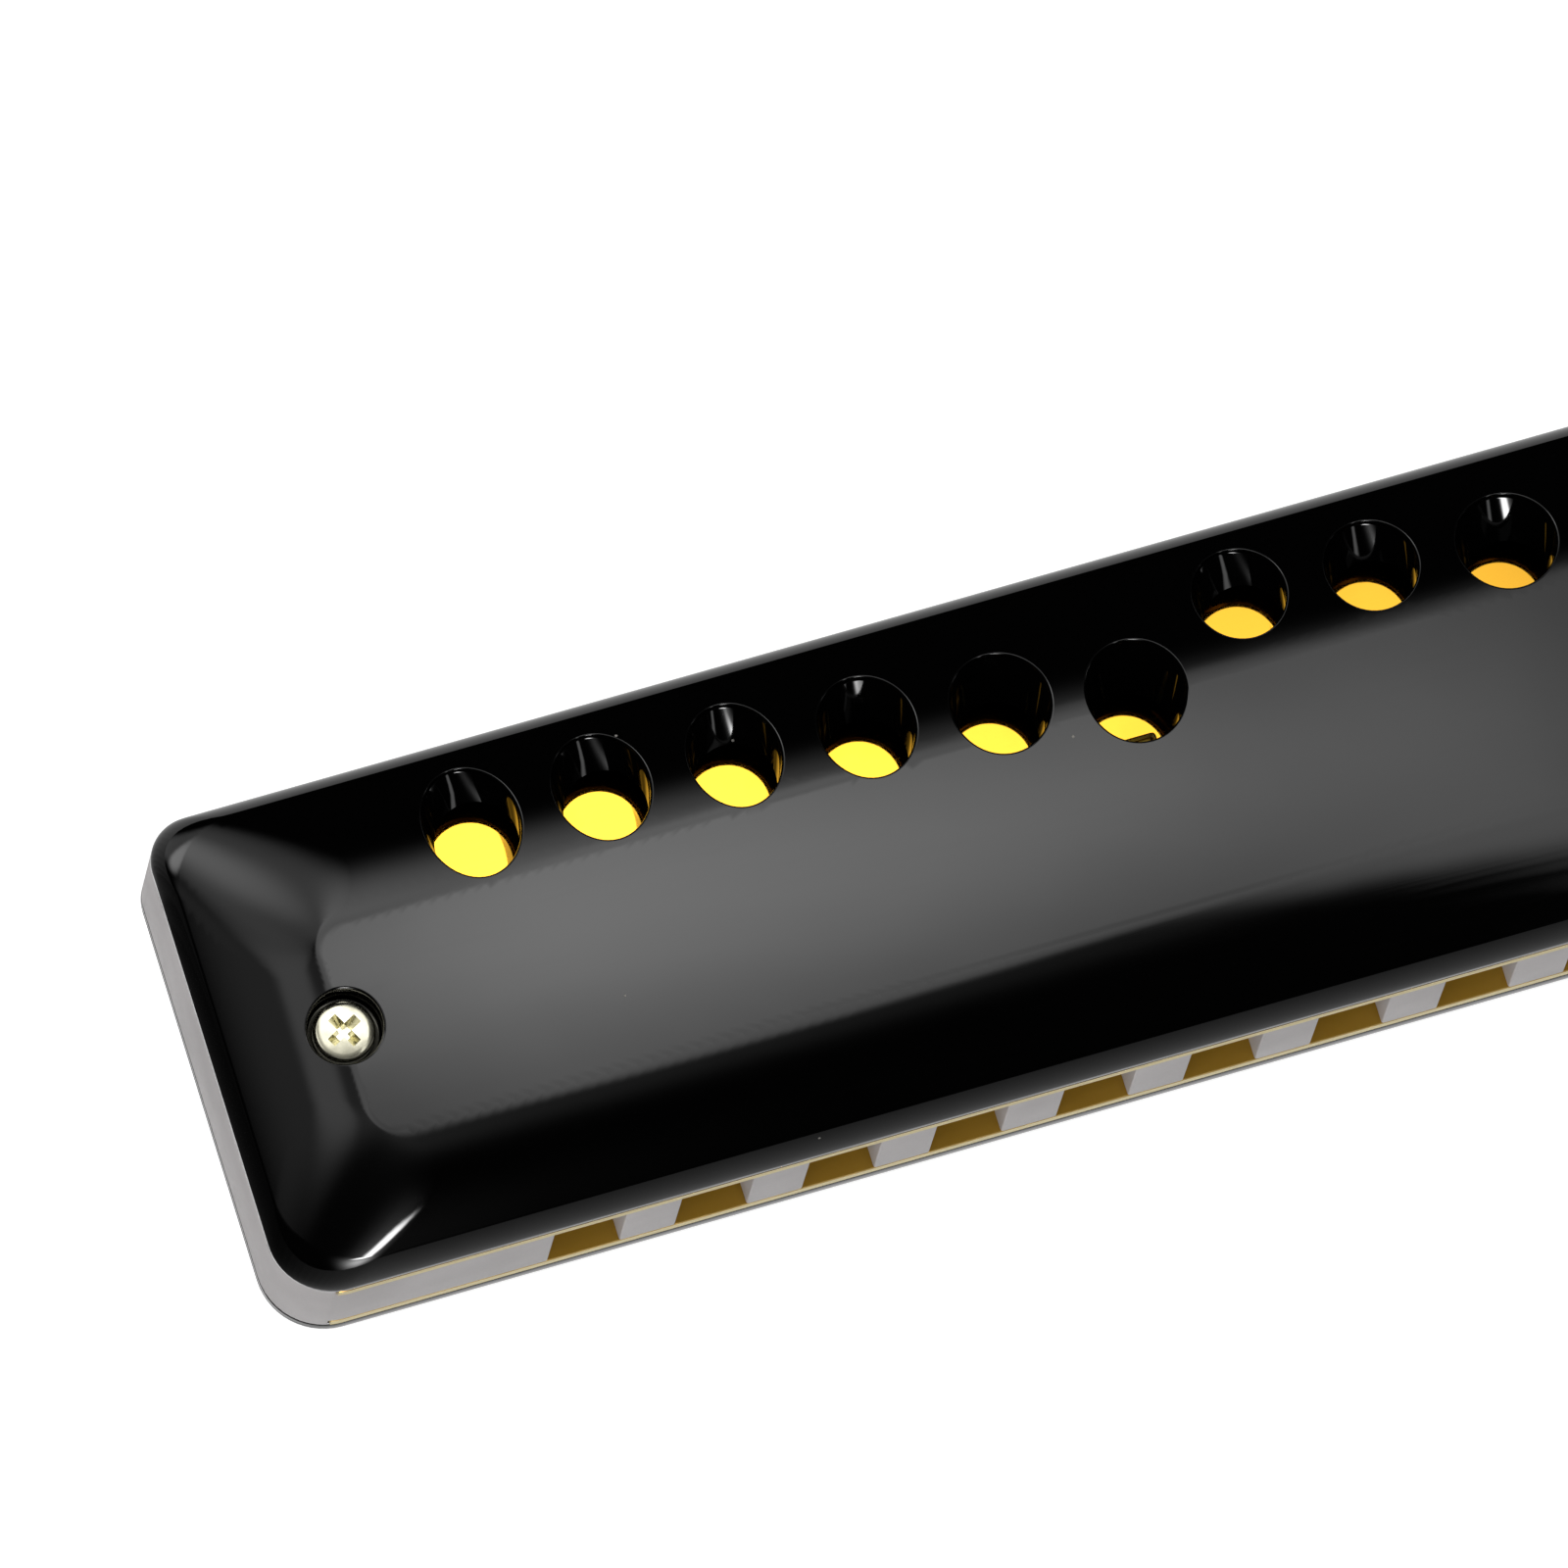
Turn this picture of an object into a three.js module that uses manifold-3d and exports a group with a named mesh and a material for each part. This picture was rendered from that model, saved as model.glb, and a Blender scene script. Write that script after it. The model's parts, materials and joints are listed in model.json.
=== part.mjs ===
import * as THREE from "three";
import { mergeVertices } from "three/addons/utils/BufferGeometryUtils.js";
import Module from "manifold-3d";

// Ten-hole diatonic harmonica in millimetres. +X runs along the holes from the low notes to the
// high ones, +Y points away from the player's mouth and +Z is up. The origin lies under the
// middle of the lower cover, in the plane that the instrument rests on.

// Outline that the comb and both covers share
const bodyDepth = 28.4;
const frontCorner = 3.8;
const backCorner = 2.4;

// Mouth holes and the chambers behind them
const holePitch = 7.5;
const holeWidth = 4.2;
const chamberPadGap = 0.5;

// Comb and the two reed plates let into its faces
const combCore = 6.5;
const plateThickness = 0.9;
const plateEndInset = 3.1;
const plateBackInset = 2;
const plateFit = 0.1;

// Covers: a moulded shell with four slopes around a flat crown
const coverHeight = 6.5;
const coverWall = 1.3;
const coverRim = 0.7;
const frontSlope = 6.6;
const backSlope = 9;
const endSlope = 6.8;
const crownCorner = 1.6;
const slopeSteepest = 1.25;

// Round vents with a tapering tube below each
const ventRimRadius = 2.85;
const ventThroatRadius = 2.25;
const ventTubeWall = 0.9;
const ventTubeClearance = 2;
const ventBackShares = [0.194, 0.197, 0.206, 0.225, 0.255, 0.31, 0.171, 0.19, 0.215, 0.254];

// Bolts and nuts that clamp the covers
const boltEndInset = 7.1;
const boltFrontInset = 13.3;
const boltRadius = 1;
const boltFit = 0.2;
const boltHeadRadius = 1.7;
const boltHeadHeight = 1.2;
const boltHeadSink = 2.3;
const boltPocketRadius = 2.23;
const boltBossWall = 1.2;
const boltTail = 0.6;
const nutAcrossFlats = 4;
const nutHeight = 1.6;
const nutSink = 2.6;
const nutFit = 0.12;

// Cross recess in the bolt heads
const recessSpan = 2;
const recessWidth = 0.5;
const recessDepth = 0.7;

// Small screws that hold the reed plates
const plateScrewRadius = 0.7;
const plateScrewFit = 0.1;
const plateScrewHeadRadius = 1.4;
const plateScrewHeadHeight = 0.8;
const plateScrewLength = 3.4;
const plateScrewSlotWidth = 0.4;
const plateScrewSlotDepth = 0.35;
const plateScrewBossGap = 0.595;
const plateScrewHoleGap = 1.925;

// Reeds: the first value is hole 1, the second the last hole
const reedTongueLengths = [15, 8.8];
const reedTongueWidth = 2;
const reedPadWidth = 3.2;
const reedPadLength = 2.8;
const reedTaper = 0.8;
const reedThickness = 0.25;
const reedLift = 0.15;
const reedSlotSideGap = 0.15;
const reedSlotTipGap = 0.25;
const blowRivetInset = 7.9;
const drawRivetInset = 3.8;

// Rivets
const rivetRadius = 0.5;
const rivetFit = 0.05;
const rivetPadFit = 0.12;
const rivetHeadRadius = 0.9;
const rivetHeadHeight = 0.4;
const rivetTail = 0.2;

// How far a cut runs past the face that it opens, and the distance at which vertices weld
const overrun = 0.5;
const weldDistance = 0.0001;

// How finely round shapes are stepped
const cornerSteps = 6;
const slopeSteps = 5;
const ventSides = 16;
const boltSides = 20;
const smallSides = 10;

// Sizes and places that follow from the ones above
const holeCount = ventBackShares.length;
const boltBossRadius = boltPocketRadius + boltBossWall;
const plateScrewInset = boltEndInset + boltBossRadius + plateScrewBossGap + plateScrewHeadRadius;
const firstHoleInset = plateScrewInset + plateScrewHeadRadius + plateScrewHoleGap + holeWidth / 2;
const bodyLength = 2 * firstHoleInset + (holeCount - 1) * holePitch;
const halfLength = bodyLength / 2;
const halfDepth = bodyDepth / 2;
const combThickness = combCore + 2 * plateThickness;
const combBottom = coverHeight;
const combTop = combBottom + combThickness;
const upperPlateInner = combTop - plateThickness;
const blowRivetY = halfDepth - blowRivetInset;
const chamberBack = blowRivetY + reedPadLength / 2 + chamberPadGap;
const drawRivetY = drawRivetInset - halfDepth;
const boltX = halfLength - boltEndInset;
const boltY = boltFrontInset - halfDepth;
const boltHeadSeat = coverHeight - boltHeadSink;
const nutSeat = coverHeight - nutSink;
const plateScrewX = halfLength - plateScrewInset;
const sides = { left: -1, right: 1 };

const wasm = await Module();
wasm.setup();

// A closed geometry as a solid that can be joined and cut.
function solidOf(geometry) {
  const plain = geometry.clone();
  plain.deleteAttribute("normal");
  plain.deleteAttribute("uv");
  const merged = mergeVertices(plain, weldDistance);
  return new wasm.Manifold(
    new wasm.Mesh({
      numProp: 3,
      vertProperties: merged.attributes.position.array,
      triVerts: new Uint32Array(merged.index.array),
    }),
  );
}

// A solid as a geometry with flat-shaded faces.
function geometryOf(solid) {
  const mesh = solid.getMesh();
  const indexed = new THREE.BufferGeometry();
  indexed.setAttribute("position", new THREE.BufferAttribute(mesh.vertProperties, mesh.numProp));
  indexed.setIndex(new THREE.BufferAttribute(mesh.triVerts, 1));
  const geometry = indexed.toNonIndexed();
  geometry.computeVertexNormals();
  return geometry;
}

// A box between two corners.
function boxSolid(low, high) {
  const size = high.map((value, axis) => value - low[axis]);
  const middle = high.map((value, axis) => (value + low[axis]) / 2);
  return solidOf(new THREE.BoxGeometry(...size).translate(...middle));
}

// An upright cone or cylinder from one height to another, with the radius at each end.
function coneSolid(x, y, lowZ, highZ, lowRadius, highRadius, segments) {
  const geometry = new THREE.CylinderGeometry(highRadius, lowRadius, highZ - lowZ, segments);
  geometry.rotateX(Math.PI / 2);
  geometry.translate(x, y, (lowZ + highZ) / 2);
  return solidOf(geometry);
}

// An upright cylinder.
function rodSolid(x, y, lowZ, highZ, radius, segments) {
  return coneSolid(x, y, lowZ, highZ, radius, radius, segments);
}

// A shape turned about the Z axis from pairs of radius and height, lowest first.
function turnedSolid(profile, segments) {
  const points = profile.map(([radius, height]) => new THREE.Vector2(radius, height));
  return solidOf(new THREE.LatheGeometry(points, segments).rotateX(Math.PI / 2));
}

// A hexagonal prism on the Z axis.
function hexSolid(acrossFlats, lowZ, highZ) {
  return rodSolid(0, 0, lowZ, highZ, acrossFlats / Math.sqrt(3), 6);
}

// The points of a rectangle with round corners, anticlockwise from above. The two corners at the
// front and the two at the back each have a radius.
function ringPoints(halfX, lowY, highY, front, back) {
  const centres = [
    [halfX - back, highY - back, back],
    [back - halfX, highY - back, back],
    [front - halfX, lowY + front, front],
    [halfX - front, lowY + front, front],
  ];
  return centres.flatMap(([x, y, corner], quarter) =>
    Array.from({ length: cornerSteps + 1 }, (_, step) => {
      const angle = ((quarter + step / cornerSteps) * Math.PI) / 2;
      return [x + corner * Math.cos(angle), y + corner * Math.sin(angle)];
    }),
  );
}

// A closed skin over rings of points that are stacked from the lowest to the highest.
function loftSolid(rings) {
  const count = rings[0].points.length;
  const positions = rings.flatMap(({ points, z }) => points.flatMap(([x, y]) => [x, y, z]));
  const last = (rings.length - 1) * count;
  const faces = [];
  for (let i = 0; i < count; i++) {
    const next = (i + 1) % count;
    for (let base = 0; base < last; base += count) {
      faces.push(base + i, base + next, base + count + next);
      faces.push(base + i, base + count + next, base + count + i);
    }
  }
  for (let i = 1; i < count - 1; i++) {
    faces.push(0, i + 1, i);
    faces.push(last, last + i, last + i + 1);
  }
  const geometry = new THREE.BufferGeometry();
  geometry.setAttribute("position", new THREE.Float32BufferAttribute(positions, 3));
  geometry.setIndex(faces);
  return solidOf(geometry);
}

// The body's outline as a prism.
function outlineSolid(lowZ, highZ) {
  const points = ringPoints(halfLength, -halfDepth, halfDepth, frontCorner, backCorner);
  return loftSolid([
    { points, z: lowZ },
    { points, z: highZ },
  ]);
}

// The pillow shape of a cover, drawn in all round by a margin that is also taken off its height.
function pillowSolid(margin, footZ) {
  const front = frontCorner - margin;
  const back = backCorner - margin;
  const foot = ringPoints(halfLength - margin, margin - halfDepth, halfDepth - margin, front, back);
  const rings = [{ points: foot, z: footZ }];
  for (let step = 0; step <= slopeSteps; step++) {
    const angle = (slopeSteepest * step) / slopeSteps;
    const inward = (1 - Math.cos(angle)) / (1 - Math.cos(slopeSteepest));
    const upward = Math.sin(angle) / Math.sin(slopeSteepest);
    rings.push({
      points: ringPoints(
        halfLength - margin - endSlope * inward,
        margin - halfDepth + frontSlope * inward,
        halfDepth - margin - backSlope * inward,
        front + (crownCorner - front) * inward,
        back + (crownCorner - back) * inward,
      ),
      z: coverRim + (coverHeight - margin - coverRim) * upward,
    });
  }
  return loftSolid(rings);
}

// The middle of a hole, a chamber or a reed along X.
function holeX(index) {
  return (index - (holeCount - 1) / 2) * holePitch;
}

// The radius of a vent's tube at a height above the cover's seat.
function ventRadiusAt(z) {
  const share = (z - ventTubeClearance) / (coverHeight - ventTubeClearance);
  return ventThroatRadius + (ventRimRadius - ventThroatRadius) * share;
}

// A vent's bore or, with a wall, the outside of its tube.
function ventSolid(index, lowZ, highZ, wall) {
  const y = halfDepth - ventBackShares[index] * bodyDepth;
  const lowRadius = ventRadiusAt(lowZ) + wall;
  const highRadius = ventRadiusAt(highZ) + wall;
  return coneSolid(holeX(index), y, lowZ, highZ, lowRadius, highRadius, ventSides);
}

// A cover's shell with its vents and bolt bosses; the pocket is cut at each bolt.
function coverSolid(pocket) {
  const outside = pillowSolid(0, 0);
  let shell = outside.subtract(pillowSolid(coverWall, -overrun));
  for (let index = 0; index < holeCount; index++) {
    shell = shell.add(ventSolid(index, ventTubeClearance, coverHeight, ventTubeWall).intersect(outside));
  }
  for (const side of Object.values(sides)) {
    const boss = rodSolid(side * boltX, boltY, 0, coverHeight, boltBossRadius, boltSides);
    shell = shell.add(boss.intersect(outside));
  }
  for (let index = 0; index < holeCount; index++) {
    shell = shell.subtract(ventSolid(index, ventTubeClearance - overrun, coverHeight + overrun, 0));
  }
  for (const side of Object.values(sides)) {
    shell = shell.subtract(pocket.translate([side * boltX, boltY, 0]));
    shell = shell.subtract(
      rodSolid(side * boltX, boltY, -overrun, coverHeight, boltRadius + boltFit, boltSides),
    );
  }
  return shell;
}

// The comb: solid ends, ten chambers open at the front, and a recess for each reed plate.
function combSolid() {
  let comb = outlineSolid(0, combThickness);
  const recessX = halfLength - plateEndInset + plateFit;
  const recessBack = halfDepth - plateBackInset + plateFit;
  const front = -halfDepth - overrun;
  const through = combThickness + overrun;
  const floors = [
    [-overrun, plateThickness],
    [combThickness - plateThickness, through],
  ];
  for (const [lowZ, highZ] of floors) {
    comb = comb.subtract(boxSolid([-recessX, front, lowZ], [recessX, recessBack, highZ]));
  }
  for (let index = 0; index < holeCount; index++) {
    const x = holeX(index);
    comb = comb.subtract(
      boxSolid([x - holeWidth / 2, front, 0], [x + holeWidth / 2, chamberBack, combThickness]),
    );
  }
  for (const side of Object.values(sides)) {
    comb = comb.subtract(
      rodSolid(side * boltX, boltY, -overrun, through, boltRadius + boltFit, boltSides),
    );
    comb = comb.subtract(
      rodSolid(side * plateScrewX, 0, 0, combThickness, plateScrewRadius + plateScrewFit, smallSides),
    );
  }
  return comb;
}

// How long the tongue of a reed is, from the lowest note to the highest.
function tongueLength(index) {
  const [longest, shortest] = reedTongueLengths;
  return longest + ((shortest - longest) * index) / (holeCount - 1);
}

// A reed plate; the tongues point along Y by the sign of direction from the rivets.
function plateSolid(rivetY, direction) {
  const through = plateThickness + overrun;
  const endX = halfLength - plateEndInset;
  let plate = outlineSolid(0, plateThickness);
  plate = plate.intersect(
    boxSolid([-endX, -halfDepth, -overrun], [endX, halfDepth - plateBackInset, through]),
  );
  const slotHalfWidth = reedTongueWidth / 2 + reedSlotSideGap;
  for (let index = 0; index < holeCount; index++) {
    const x = holeX(index);
    const root = rivetY + direction * (reedPadLength / 2 + reedTaper);
    const tip = root + direction * (tongueLength(index) + reedSlotTipGap);
    plate = plate.subtract(
      boxSolid(
        [x - slotHalfWidth, Math.min(root, tip), -overrun],
        [x + slotHalfWidth, Math.max(root, tip), through],
      ),
    );
    plate = plate.subtract(
      rodSolid(x, rivetY, -overrun, through, rivetRadius + rivetFit, smallSides),
    );
  }
  for (const side of Object.values(sides)) {
    plate = plate.subtract(
      rodSolid(side * boltX, boltY, -overrun, through, boltRadius + boltFit, boltSides),
    );
    plate = plate.subtract(
      rodSolid(side * plateScrewX, 0, -overrun, through, plateScrewRadius + plateScrewFit, smallSides),
    );
  }
  return plate;
}

// A reed with its rivet hole at the origin, its upper face at zero and its tongue along -Y.
function reedGeometry(index) {
  const padX = reedPadWidth / 2;
  const padY = reedPadLength / 2;
  const tongueX = reedTongueWidth / 2;
  const rootY = -padY - reedTaper;
  const tipY = rootY - tongueLength(index);
  const outline = new THREE.Shape([
    new THREE.Vector2(-padX, padY),
    new THREE.Vector2(-padX, -padY),
    new THREE.Vector2(-tongueX, rootY),
    new THREE.Vector2(-tongueX, tipY),
    new THREE.Vector2(tongueX, tipY),
    new THREE.Vector2(tongueX, rootY),
    new THREE.Vector2(padX, -padY),
    new THREE.Vector2(padX, padY),
  ]);
  const hole = new THREE.Path();
  hole.absarc(0, 0, rivetRadius + rivetPadFit, 0, 2 * Math.PI);
  outline.holes.push(hole);
  const geometry = new THREE.ExtrudeGeometry(outline, {
    depth: reedThickness,
    bevelEnabled: false,
    curveSegments: smallSides / 2,
  });
  return geometry.translate(0, 0, -reedThickness);
}

// A rivet with its head below the reed's pad; zero is the face of the plate that the reed lies on.
function rivetSolid() {
  const headTop = -2 * reedLift - reedThickness;
  const headMiddle = headTop - rivetHeadHeight / 2;
  return turnedSolid(
    [
      [0, headTop - rivetHeadHeight],
      [rivetHeadRadius / 2, headTop - rivetHeadHeight],
      [rivetHeadRadius, headMiddle],
      [rivetHeadRadius, headTop],
      [rivetRadius, headTop],
      [rivetRadius, plateThickness + rivetTail],
      [0, plateThickness + rivetTail],
    ],
    smallSides,
  );
}

// A pan-head bolt with a cross recess; zero is the seat under its head.
function boltSolid(length) {
  const crownRadius = boltHeadRadius / 2;
  const shoulder = boltHeadHeight / 2;
  let bolt = turnedSolid(
    [
      [0, -length],
      [boltRadius, -length],
      [boltRadius, 0],
      [boltHeadRadius, 0],
      [boltHeadRadius, shoulder],
      [crownRadius + (boltHeadRadius - crownRadius) / 2, boltHeadHeight - shoulder / 4],
      [crownRadius, boltHeadHeight],
      [0, boltHeadHeight],
    ],
    boltSides,
  );
  const floor = boltHeadHeight - recessDepth;
  const top = boltHeadHeight + overrun;
  const reach = recessSpan / 2;
  const half = recessWidth / 2;
  bolt = bolt.subtract(boxSolid([-reach, -half, floor], [reach, half, top]));
  return bolt.subtract(boxSolid([-half, -reach, floor], [half, reach, top]));
}

// A hexagonal nut from zero up.
function nutSolid() {
  return hexSolid(nutAcrossFlats, 0, nutHeight).subtract(
    rodSolid(0, 0, -overrun, nutHeight + overrun, boltRadius + nutFit, boltSides),
  );
}

// A small slotted screw; zero is the seat under its head.
function plateScrewSolid() {
  const crownRadius = plateScrewHeadRadius / 2;
  const screw = turnedSolid(
    [
      [0, -plateScrewLength],
      [plateScrewRadius, plateScrewRadius - plateScrewLength],
      [plateScrewRadius, 0],
      [plateScrewHeadRadius, 0],
      [plateScrewHeadRadius, plateScrewHeadHeight / 2],
      [crownRadius, plateScrewHeadHeight],
      [0, plateScrewHeadHeight],
    ],
    smallSides,
  );
  const reach = plateScrewHeadRadius + overrun;
  const half = plateScrewSlotWidth / 2;
  return screw.subtract(
    boxSolid(
      [-reach, -half, plateScrewHeadHeight - plateScrewSlotDepth],
      [reach, half, plateScrewHeadHeight + overrun],
    ),
  );
}

const finishes = {
  blackPlastic: { color: 0x0a0a0a, roughness: 0.08, metalness: 0 },
  greyPlastic: { color: 0xbdbdc4, roughness: 0.45, metalness: 0 },
  brass: { color: 0xd8b04a, roughness: 0.28, metalness: 1 },
  nickel: { color: 0xc9c6ba, roughness: 0.25, metalness: 1 },
};

// A named mesh with a material of its own.
function piece(name, geometry, finish) {
  const mesh = new THREE.Mesh(geometry, new THREE.MeshStandardMaterial(finishes[finish]));
  mesh.name = name;
  return mesh;
}

// The comb and the plates let into it.
function buildComb() {
  const group = new THREE.Group();
  const comb = piece("comb", geometryOf(combSolid()), "greyPlastic");
  comb.position.z = combBottom;
  const upper = piece("upper_reed_plate", geometryOf(plateSolid(blowRivetY, -1)), "brass");
  upper.position.z = upperPlateInner;
  const lower = piece("lower_reed_plate", geometryOf(plateSolid(drawRivetY, 1)), "brass");
  lower.position.z = combBottom;
  group.add(comb, upper, lower);
  return group;
}

// Ten reeds and their rivets below one face of a plate.
function buildReeds(kind, rivetY, faceZ, turn) {
  const group = new THREE.Group();
  for (let index = 0; index < holeCount; index++) {
    const reed = piece(`${kind}_reed_${index + 1}`, reedGeometry(index), "brass");
    reed.position.set(holeX(index), rivetY, faceZ - reedLift);
    reed.rotation.z = turn;
    const rivet = piece(`${kind}_rivet_${index + 1}`, geometryOf(rivetSolid()), "brass");
    rivet.position.set(holeX(index), rivetY, faceZ);
    group.add(reed, rivet);
  }
  return group;
}

// The covers: the lower one is turned over about the Y axis.
function buildCovers() {
  const group = new THREE.Group();
  const top = coverHeight + overrun;
  const headPocket = rodSolid(0, 0, boltHeadSeat, top, boltPocketRadius, boltSides);
  const upper = piece("top_cover", geometryOf(coverSolid(headPocket)), "blackPlastic");
  upper.position.z = combTop;
  const nutPocket = hexSolid(nutAcrossFlats + 2 * nutFit, nutSeat, top);
  const lower = piece("bottom_cover", geometryOf(coverSolid(nutPocket)), "blackPlastic");
  lower.position.z = combBottom;
  lower.rotation.y = Math.PI;
  group.add(upper, lower);
  return group;
}

// The bolts through both covers, and their nuts.
function buildBolts() {
  const group = new THREE.Group();
  const headZ = combTop + boltHeadSeat;
  const nutTop = combBottom - nutSeat;
  const boltLength = headZ - nutTop + nutHeight + boltTail;
  for (const [name, side] of Object.entries(sides)) {
    const bolt = piece(`cover_bolt_${name}`, geometryOf(boltSolid(boltLength)), "nickel");
    bolt.position.set(side * boltX, boltY, headZ);
    const nut = piece(`cover_nut_${name}`, geometryOf(nutSolid()), "nickel");
    nut.position.set(side * boltX, boltY, nutTop - nutHeight);
    group.add(bolt, nut);
  }
  return group;
}

// The screws that hold each plate to the comb.
function buildPlateScrews() {
  const group = new THREE.Group();
  const plates = { upper: [combTop, 0], lower: [combBottom, Math.PI] };
  for (const [plate, [z, turn]] of Object.entries(plates)) {
    for (const [name, side] of Object.entries(sides)) {
      const screw = piece(`${plate}_plate_screw_${name}`, geometryOf(plateScrewSolid()), "nickel");
      screw.position.set(side * plateScrewX, 0, z);
      screw.rotation.x = turn;
      group.add(screw);
    }
  }
  return group;
}

const harmonica = new THREE.Group();
harmonica.add(buildComb());
harmonica.add(buildReeds("blow", blowRivetY, upperPlateInner, 0));
harmonica.add(buildReeds("draw", drawRivetY, combBottom, Math.PI));
harmonica.add(buildCovers());
harmonica.add(buildBolts());
harmonica.add(buildPlateScrews());

export default harmonica;
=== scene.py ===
"""Looks of a ten-hole diatonic harmonica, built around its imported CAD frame.

The script is laid out as a Blender add-on with one operator for each kind of piece. Lengths are in
metres in the frame of the CAD model: +X runs from the low notes to the high ones, +Y points away
from the player and +Z is up.
"""

import json
import math

import bpy
import numpy as np
from mathutils import Matrix, Vector
from mathutils.geometry import delaunay_2d_cdt


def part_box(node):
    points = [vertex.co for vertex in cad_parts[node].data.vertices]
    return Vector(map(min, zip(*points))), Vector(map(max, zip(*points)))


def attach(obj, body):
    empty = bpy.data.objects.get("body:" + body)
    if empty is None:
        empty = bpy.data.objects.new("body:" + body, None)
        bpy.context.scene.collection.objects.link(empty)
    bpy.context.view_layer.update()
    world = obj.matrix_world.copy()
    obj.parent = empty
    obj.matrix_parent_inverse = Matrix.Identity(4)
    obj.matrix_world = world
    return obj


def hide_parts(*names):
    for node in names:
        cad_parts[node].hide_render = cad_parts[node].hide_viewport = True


bl_info = {
    "name": "Diatonic harmonica",
    "version": (1, 0, 0),
    "blender": (4, 5, 0),
    "location": "3D View > Sidebar > Harmonica",
    "description": "Builds the visible pieces and finishes of a ten-hole harmonica",
    "category": "Object",
}

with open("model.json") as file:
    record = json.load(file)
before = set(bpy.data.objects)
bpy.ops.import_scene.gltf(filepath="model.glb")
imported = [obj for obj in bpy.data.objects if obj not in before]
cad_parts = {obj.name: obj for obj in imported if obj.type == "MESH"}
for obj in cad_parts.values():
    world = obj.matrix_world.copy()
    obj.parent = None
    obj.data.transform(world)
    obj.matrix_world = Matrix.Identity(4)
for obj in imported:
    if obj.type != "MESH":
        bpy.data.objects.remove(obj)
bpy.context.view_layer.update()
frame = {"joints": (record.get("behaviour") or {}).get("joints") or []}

MM = 0.001
HALF_TURN = math.pi
TINY = 1e-9
SIDES = {"left": -1, "right": 1}
QUARTERS = ((1, 1), (-1, 1), (-1, -1), (1, -1))
ABS_IOR = 1.53
STEEP_SHARE = 0.1

# Places and sizes that the frame gives
TOP_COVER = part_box("top_cover")
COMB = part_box("comb")
PLATES = {"upper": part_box("upper_reed_plate"), "lower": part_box("lower_reed_plate")}
HALF_LENGTH = TOP_COVER[1].x
HALF_DEPTH = TOP_COVER[1].y
COVER_HEIGHT = TOP_COVER[1].z - TOP_COVER[0].z
COMB_TOP = COMB[1].z
COMB_BOTTOM = COMB[0].z
PLATE_THICKNESS = PLATES["upper"][1].z - PLATES["upper"][0].z
BOLT_X, BOLT_Y = (sum(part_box("cover_bolt_right"), Vector()) / 2)[:2]
SCREW_X = sum(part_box("upper_plate_screw_right"), Vector()).x / 2
REED_PIVOTS = {joint["child"]: Vector(joint["pos_m"]) for joint in frame["joints"]}
HOLE_COUNT = len(REED_PIVOTS) // 2
HOLE_X = [REED_PIVOTS[f"blow_reed_{hole}_body"].x for hole in range(1, HOLE_COUNT + 1)]
BLOW_Y = REED_PIVOTS["blow_reed_1_body"].y
DRAW_Y = REED_PIVOTS["draw_reed_1_body"].y
# The Y of the rivets for each kind of reed, and the height of the plate's face under the reed
REED_SEATS = {"blow": (BLOW_Y, PLATES["upper"][0].z), "draw": (DRAW_Y, PLATES["lower"][0].z)}

# Where each vent's middle lies behind the back edge, as a share of the depth, from hole 1 on
VENT_BACK_SHARES = [0.194, 0.197, 0.206, 0.225, 0.255, 0.31, 0.171, 0.19, 0.215, 0.254]
# The vents from hole 1 on, in millimetres: how far each mouth lies off the vent's middle, the
# mouth's half length and half depth, and how far the tube's foot lies off the middle
VENT_SHAPES = [
    (-0.5, -0.1, 2.7, 3.4, -0.2, -0.8),
    (-0.4, -0.1, 2.7, 3.3, -0.2, -1.0),
    (-0.2, -0.2, 2.6, 3.2, -0.3, -1.3),
    (-0.1, -0.2, 2.7, 3.1, -0.3, -1.5),
    (0.0, -0.2, 2.8, 3.0, -0.4, -1.7),
    (0.0, -0.1, 2.8, 3.0, -0.5, -1.8),
    (-0.1, -0.1, 2.6, 2.8, 0.0, -1.5),
    (0.0, -0.1, 2.6, 2.8, -0.1, -1.6),
    (0.2, -0.2, 2.8, 2.9, 0.0, -1.9),
    (0.2, -0.2, 2.8, 2.9, 0.0, -1.9),
]

# The lights in the tent: where the middle of each lies off the vertical, towards +X and towards +Y,
# its two half widths and its turn, all in degrees; how firm its edge is; and its radiance
TENT_BLACK = 0.002
TENT_LIGHTS = {
    "roof_haze": (10, 19, 42, 13, 30, 2.6, 0.2),
    "overhead_bar": (3, 12, 8, 3, -9, 1.3, 1.6),
    "overhead_left": (-9, 24, 14, 24, -6, 2.6, 1.3),
    "front_right_screen": (17, -31, 4, 55, 8, 2.6, 1.5),
    "overhead_middle": (4, 11, 5, 14, -2, 2.6, 1.2),
    "overhead_right": (16, 13, 4, 13, 0, 1.6, 0.75),
    "back_left_box": (-48, 45, 22, 9, 2, 2.6, 2.6),
    "back_left_haze": (-45, 54, 63, 18, -30, 2.6, 0.75),
    "left_wall": (-48, 10, 30, 20, -26, 2.6, 0.31),
    "left_screen": (-42, 12, 22, 9, 82, 2.6, 0.66),
    "front_strip": (-19, -56, 4, 11, -106, 2.6, 26),
    "front_strip_haze": (-27, -71, 16, 11, -87, 1.0, 8.7),
    "front_haze": (-9, -8, 20, 15, 13, 1.0, 0.24),
}

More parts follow.
